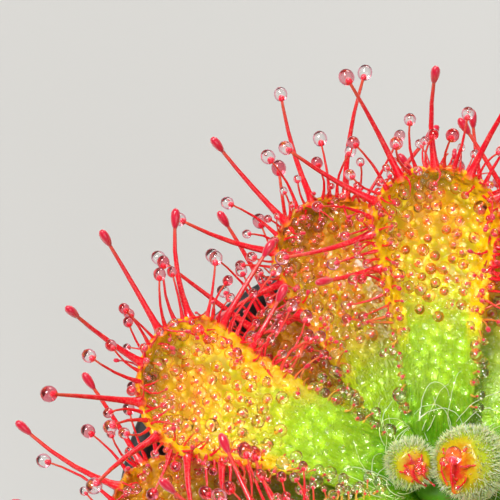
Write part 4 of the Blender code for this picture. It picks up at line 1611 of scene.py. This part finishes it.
class SUNDEW_OT_pot(bpy.types.Operator):
    """Make the plain round pot with its thick rim and drainage holes"""

    bl_idname = "sundew.pot"
    bl_label = "Pot"

    STEPS, HOLES, HOLE_STEPS = 144, 4, 40
    EDGE = 0.5 * MM
    CUT_DEPTH = 4.0 * MM
    SHARP_ANGLE = math.radians(35.0)

    def execute(self, context):
        material = stock()["pot"]
        verts, faces = lathe(rounded(self.outline(), self.EDGE), self.STEPS)
        pot = mesh_object("pot_shell", verts, faces, material)
        depth, cutters = self.CUT_DEPTH, []
        for index in range(self.HOLES):
            angle = 2.0 * math.pi * (index + 0.5) / self.HOLES
            outline = [(0.0, -depth), (DRAIN_RADIUS, -depth), (DRAIN_RADIUS, depth), (0.0, depth)]
            ring, shell = lathe(outline, self.HOLE_STEPS)
            across, along = DRAIN_RING * math.cos(angle), DRAIN_RING * math.sin(angle)
            moved = [(x + across, y + along, z) for x, y, z in ring]
            cutter = mesh_object(f"drain_{index}", moved, shell, material)
            cut = pot.modifiers.new(f"drain_{index}", "BOOLEAN")
            cut.object = cutter
            cut.operation = "DIFFERENCE"
            cutters.append(cutter)
        depsgraph = context.evaluated_depsgraph_get()
        drilled = bpy.data.meshes.new_from_object(pot.evaluated_get(depsgraph), depsgraph=depsgraph)
        pot.modifiers.clear()
        pot.data = drilled
        for cutter in cutters:
            bpy.data.objects.remove(cutter)
        pot.data.shade_smooth()
        pot.data.set_sharp_from_angle(angle=self.SHARP_ANGLE)
        settle(pot, "pot", "pot")
        return {"FINISHED"}

    def outline(self):
        """Radius and height round the pot's wall, from the middle of its underside to that of its floor."""
        band = POT_HEIGHT - POT_RIM_BAND
        return [
            (0.0, 0.0),
            (POT_BASE_RADIUS, 0.0),
            (pot_wall_radius(band), band),
            (POT_RIM_RADIUS, band),
            (POT_RIM_RADIUS, POT_HEIGHT),
            (POT_RIM_RADIUS - POT_WALL, POT_HEIGHT),
            (pot_wall_radius(band) - POT_WALL, band),
            (pot_wall_radius(POT_FLOOR) - POT_WALL, POT_FLOOR),
            (0.0, POT_FLOOR),
        ]


class SUNDEW_OT_stage(bpy.types.Operator):
    """Set the pale floor, the soft lights and the camera"""

    bl_idname = "sundew.stage"
    bl_label = "Stage"

    FLOOR_REACH = 1.5
    # Name, place, size, power in watts, colour
    LIGHTS = (
        ("key", (-0.11, -0.01, 0.36), 0.13, 1.12, (1.0, 0.98, 0.94)),
        ("fill", (0.16, -0.28, 0.22), 0.26, 0.30, (0.96, 0.98, 1.0)),
        ("rim", (0.10, 0.28, 0.20), 0.16, 0.40, (1.0, 0.98, 0.95)),
    )
    LIT_SPOT = (0.0, 0.0, 0.038)
    ROOM_STRENGTH = 0.24
    # The camera's height above the horizon, its lens and sensor, how much it sees, and what it looks at
    ELEVATION, LENS, SENSOR, FIELD = math.radians(60.0), 200.0, 36.0, 30.0 * MM
    SUBJECT, ASIDE, ABOVE = Vector((0.0, 0.0, 40.0 * MM)), -11.7, 12.4

    def execute(self, context):
        far = self.FLOOR_REACH
        corners = [(-far, -far, 0.0), (far, -far, 0.0), (far, far, 0.0), (-far, far, 0.0)]
        mesh_object("floor", corners, [(0, 1, 2, 3)], floor_material())
        for row in self.LIGHTS:
            self.light(*row)
        self.room(context)
        self.camera(context)
        view = context.scene.view_settings
        view.view_transform = "Standard"
        view.look = "None"
        return {"FINISHED"}

    def light(self, name, place, size, power, tint):
        lamp = bpy.data.lights.new(name, "AREA")
        lamp.size = size
        lamp.energy = power
        lamp.color = tint
        obj = bpy.data.objects.new(name, lamp)
        obj.location = place
        aim = Vector(self.LIT_SPOT) - Vector(place)
        obj.rotation_euler = aim.to_track_quat("-Z", "Y").to_euler()
        bpy.context.scene.collection.objects.link(obj)

    def room(self, context):
        """Soft light from all round, brighter from above."""
        world = bpy.data.worlds.new("studio")
        world.use_nodes = True
        w = Wiring(world.node_tree)
        height = w.z_of(w.add("ShaderNodeTexCoord").outputs["Generated"])
        background = world.node_tree.nodes["Background"]
        w.link(w.blend(w.spread(height, 0.0, 0.9), STUDIO_LOW, STUDIO_HIGH), background, "Color")
        background.inputs["Strength"].default_value = self.ROOM_STRENGTH
        context.scene.world = world

    def camera(self, context):
        """Looks down on the left half of the rosette, which is the part that the photograph shows."""
        data = bpy.data.cameras.new("camera")
        data.lens, data.sensor_width = self.LENS, self.SENSOR
        data.clip_start, data.clip_end = 0.005, 10.0
        level, steep = math.cos(self.ELEVATION), math.sin(self.ELEVATION)
        back, right, up = Vector((0.0, -level, steep)), Vector((1.0, 0.0, 0.0)), Vector((0.0, steep, level))
        middle = self.SUBJECT + right * self.ASIDE * MM + up * self.ABOVE * MM
        distance = 0.5 * self.FIELD / (0.5 * self.SENSOR / self.LENS)
        camera = bpy.data.objects.new("camera", data)
        camera.location = middle + back * distance
        camera.rotation_euler = (-back).to_track_quat("-Z", "Y").to_euler()
        context.scene.collection.objects.link(camera)
        context.scene.camera = camera


class SUNDEW_PT_panel(bpy.types.Panel):
    """Buttons that build the plant piece by piece"""

    bl_idname = "SUNDEW_PT_panel"
    bl_label = "Sundew"
    bl_space_type = "VIEW_3D"
    bl_region_type = "UI"
    bl_category = "Sundew"

    def draw(self, context):
        layout = self.layout
        for group, _ in SETTINGS:
            settings = getattr(context.scene, group)
            box = layout.box()
            for name in settings.bl_rna.properties.keys():
                if name not in ("rna_type", "name"):
                    box.prop(settings, name)
        for operator in OPERATORS:
            layout.operator(operator.bl_idname)


OPERATORS = (
    SUNDEW_OT_pot, SUNDEW_OT_peat, SUNDEW_OT_stem, SUNDEW_OT_leaves, SUNDEW_OT_young_leaves, SUNDEW_OT_stage,
)
SETTINGS = (
    ("sundew_leaves", SundewLeafSettings),
    ("sundew_tentacles", SundewTentacleSettings),
    ("sundew_colours", SundewColourSettings),
)


def register():
    for name, group in SETTINGS:
        bpy.utils.register_class(group)
        setattr(bpy.types.Scene, name, PointerProperty(type=group))
    for operator in OPERATORS:
        bpy.utils.register_class(operator)
    bpy.utils.register_class(SUNDEW_PT_panel)


def unregister():
    bpy.utils.unregister_class(SUNDEW_PT_panel)
    for operator in reversed(OPERATORS):
        bpy.utils.unregister_class(operator)
    for name, group in reversed(SETTINGS):
        delattr(bpy.types.Scene, name)
        bpy.utils.unregister_class(group)


def main():
    register()
    bpy.ops.sundew.pot()
    bpy.ops.sundew.peat()
    bpy.ops.sundew.stem()
    bpy.ops.sundew.leaves()
    bpy.ops.sundew.young_leaves()
    bpy.ops.sundew.stage()


if __name__ == "__main__":
    main()
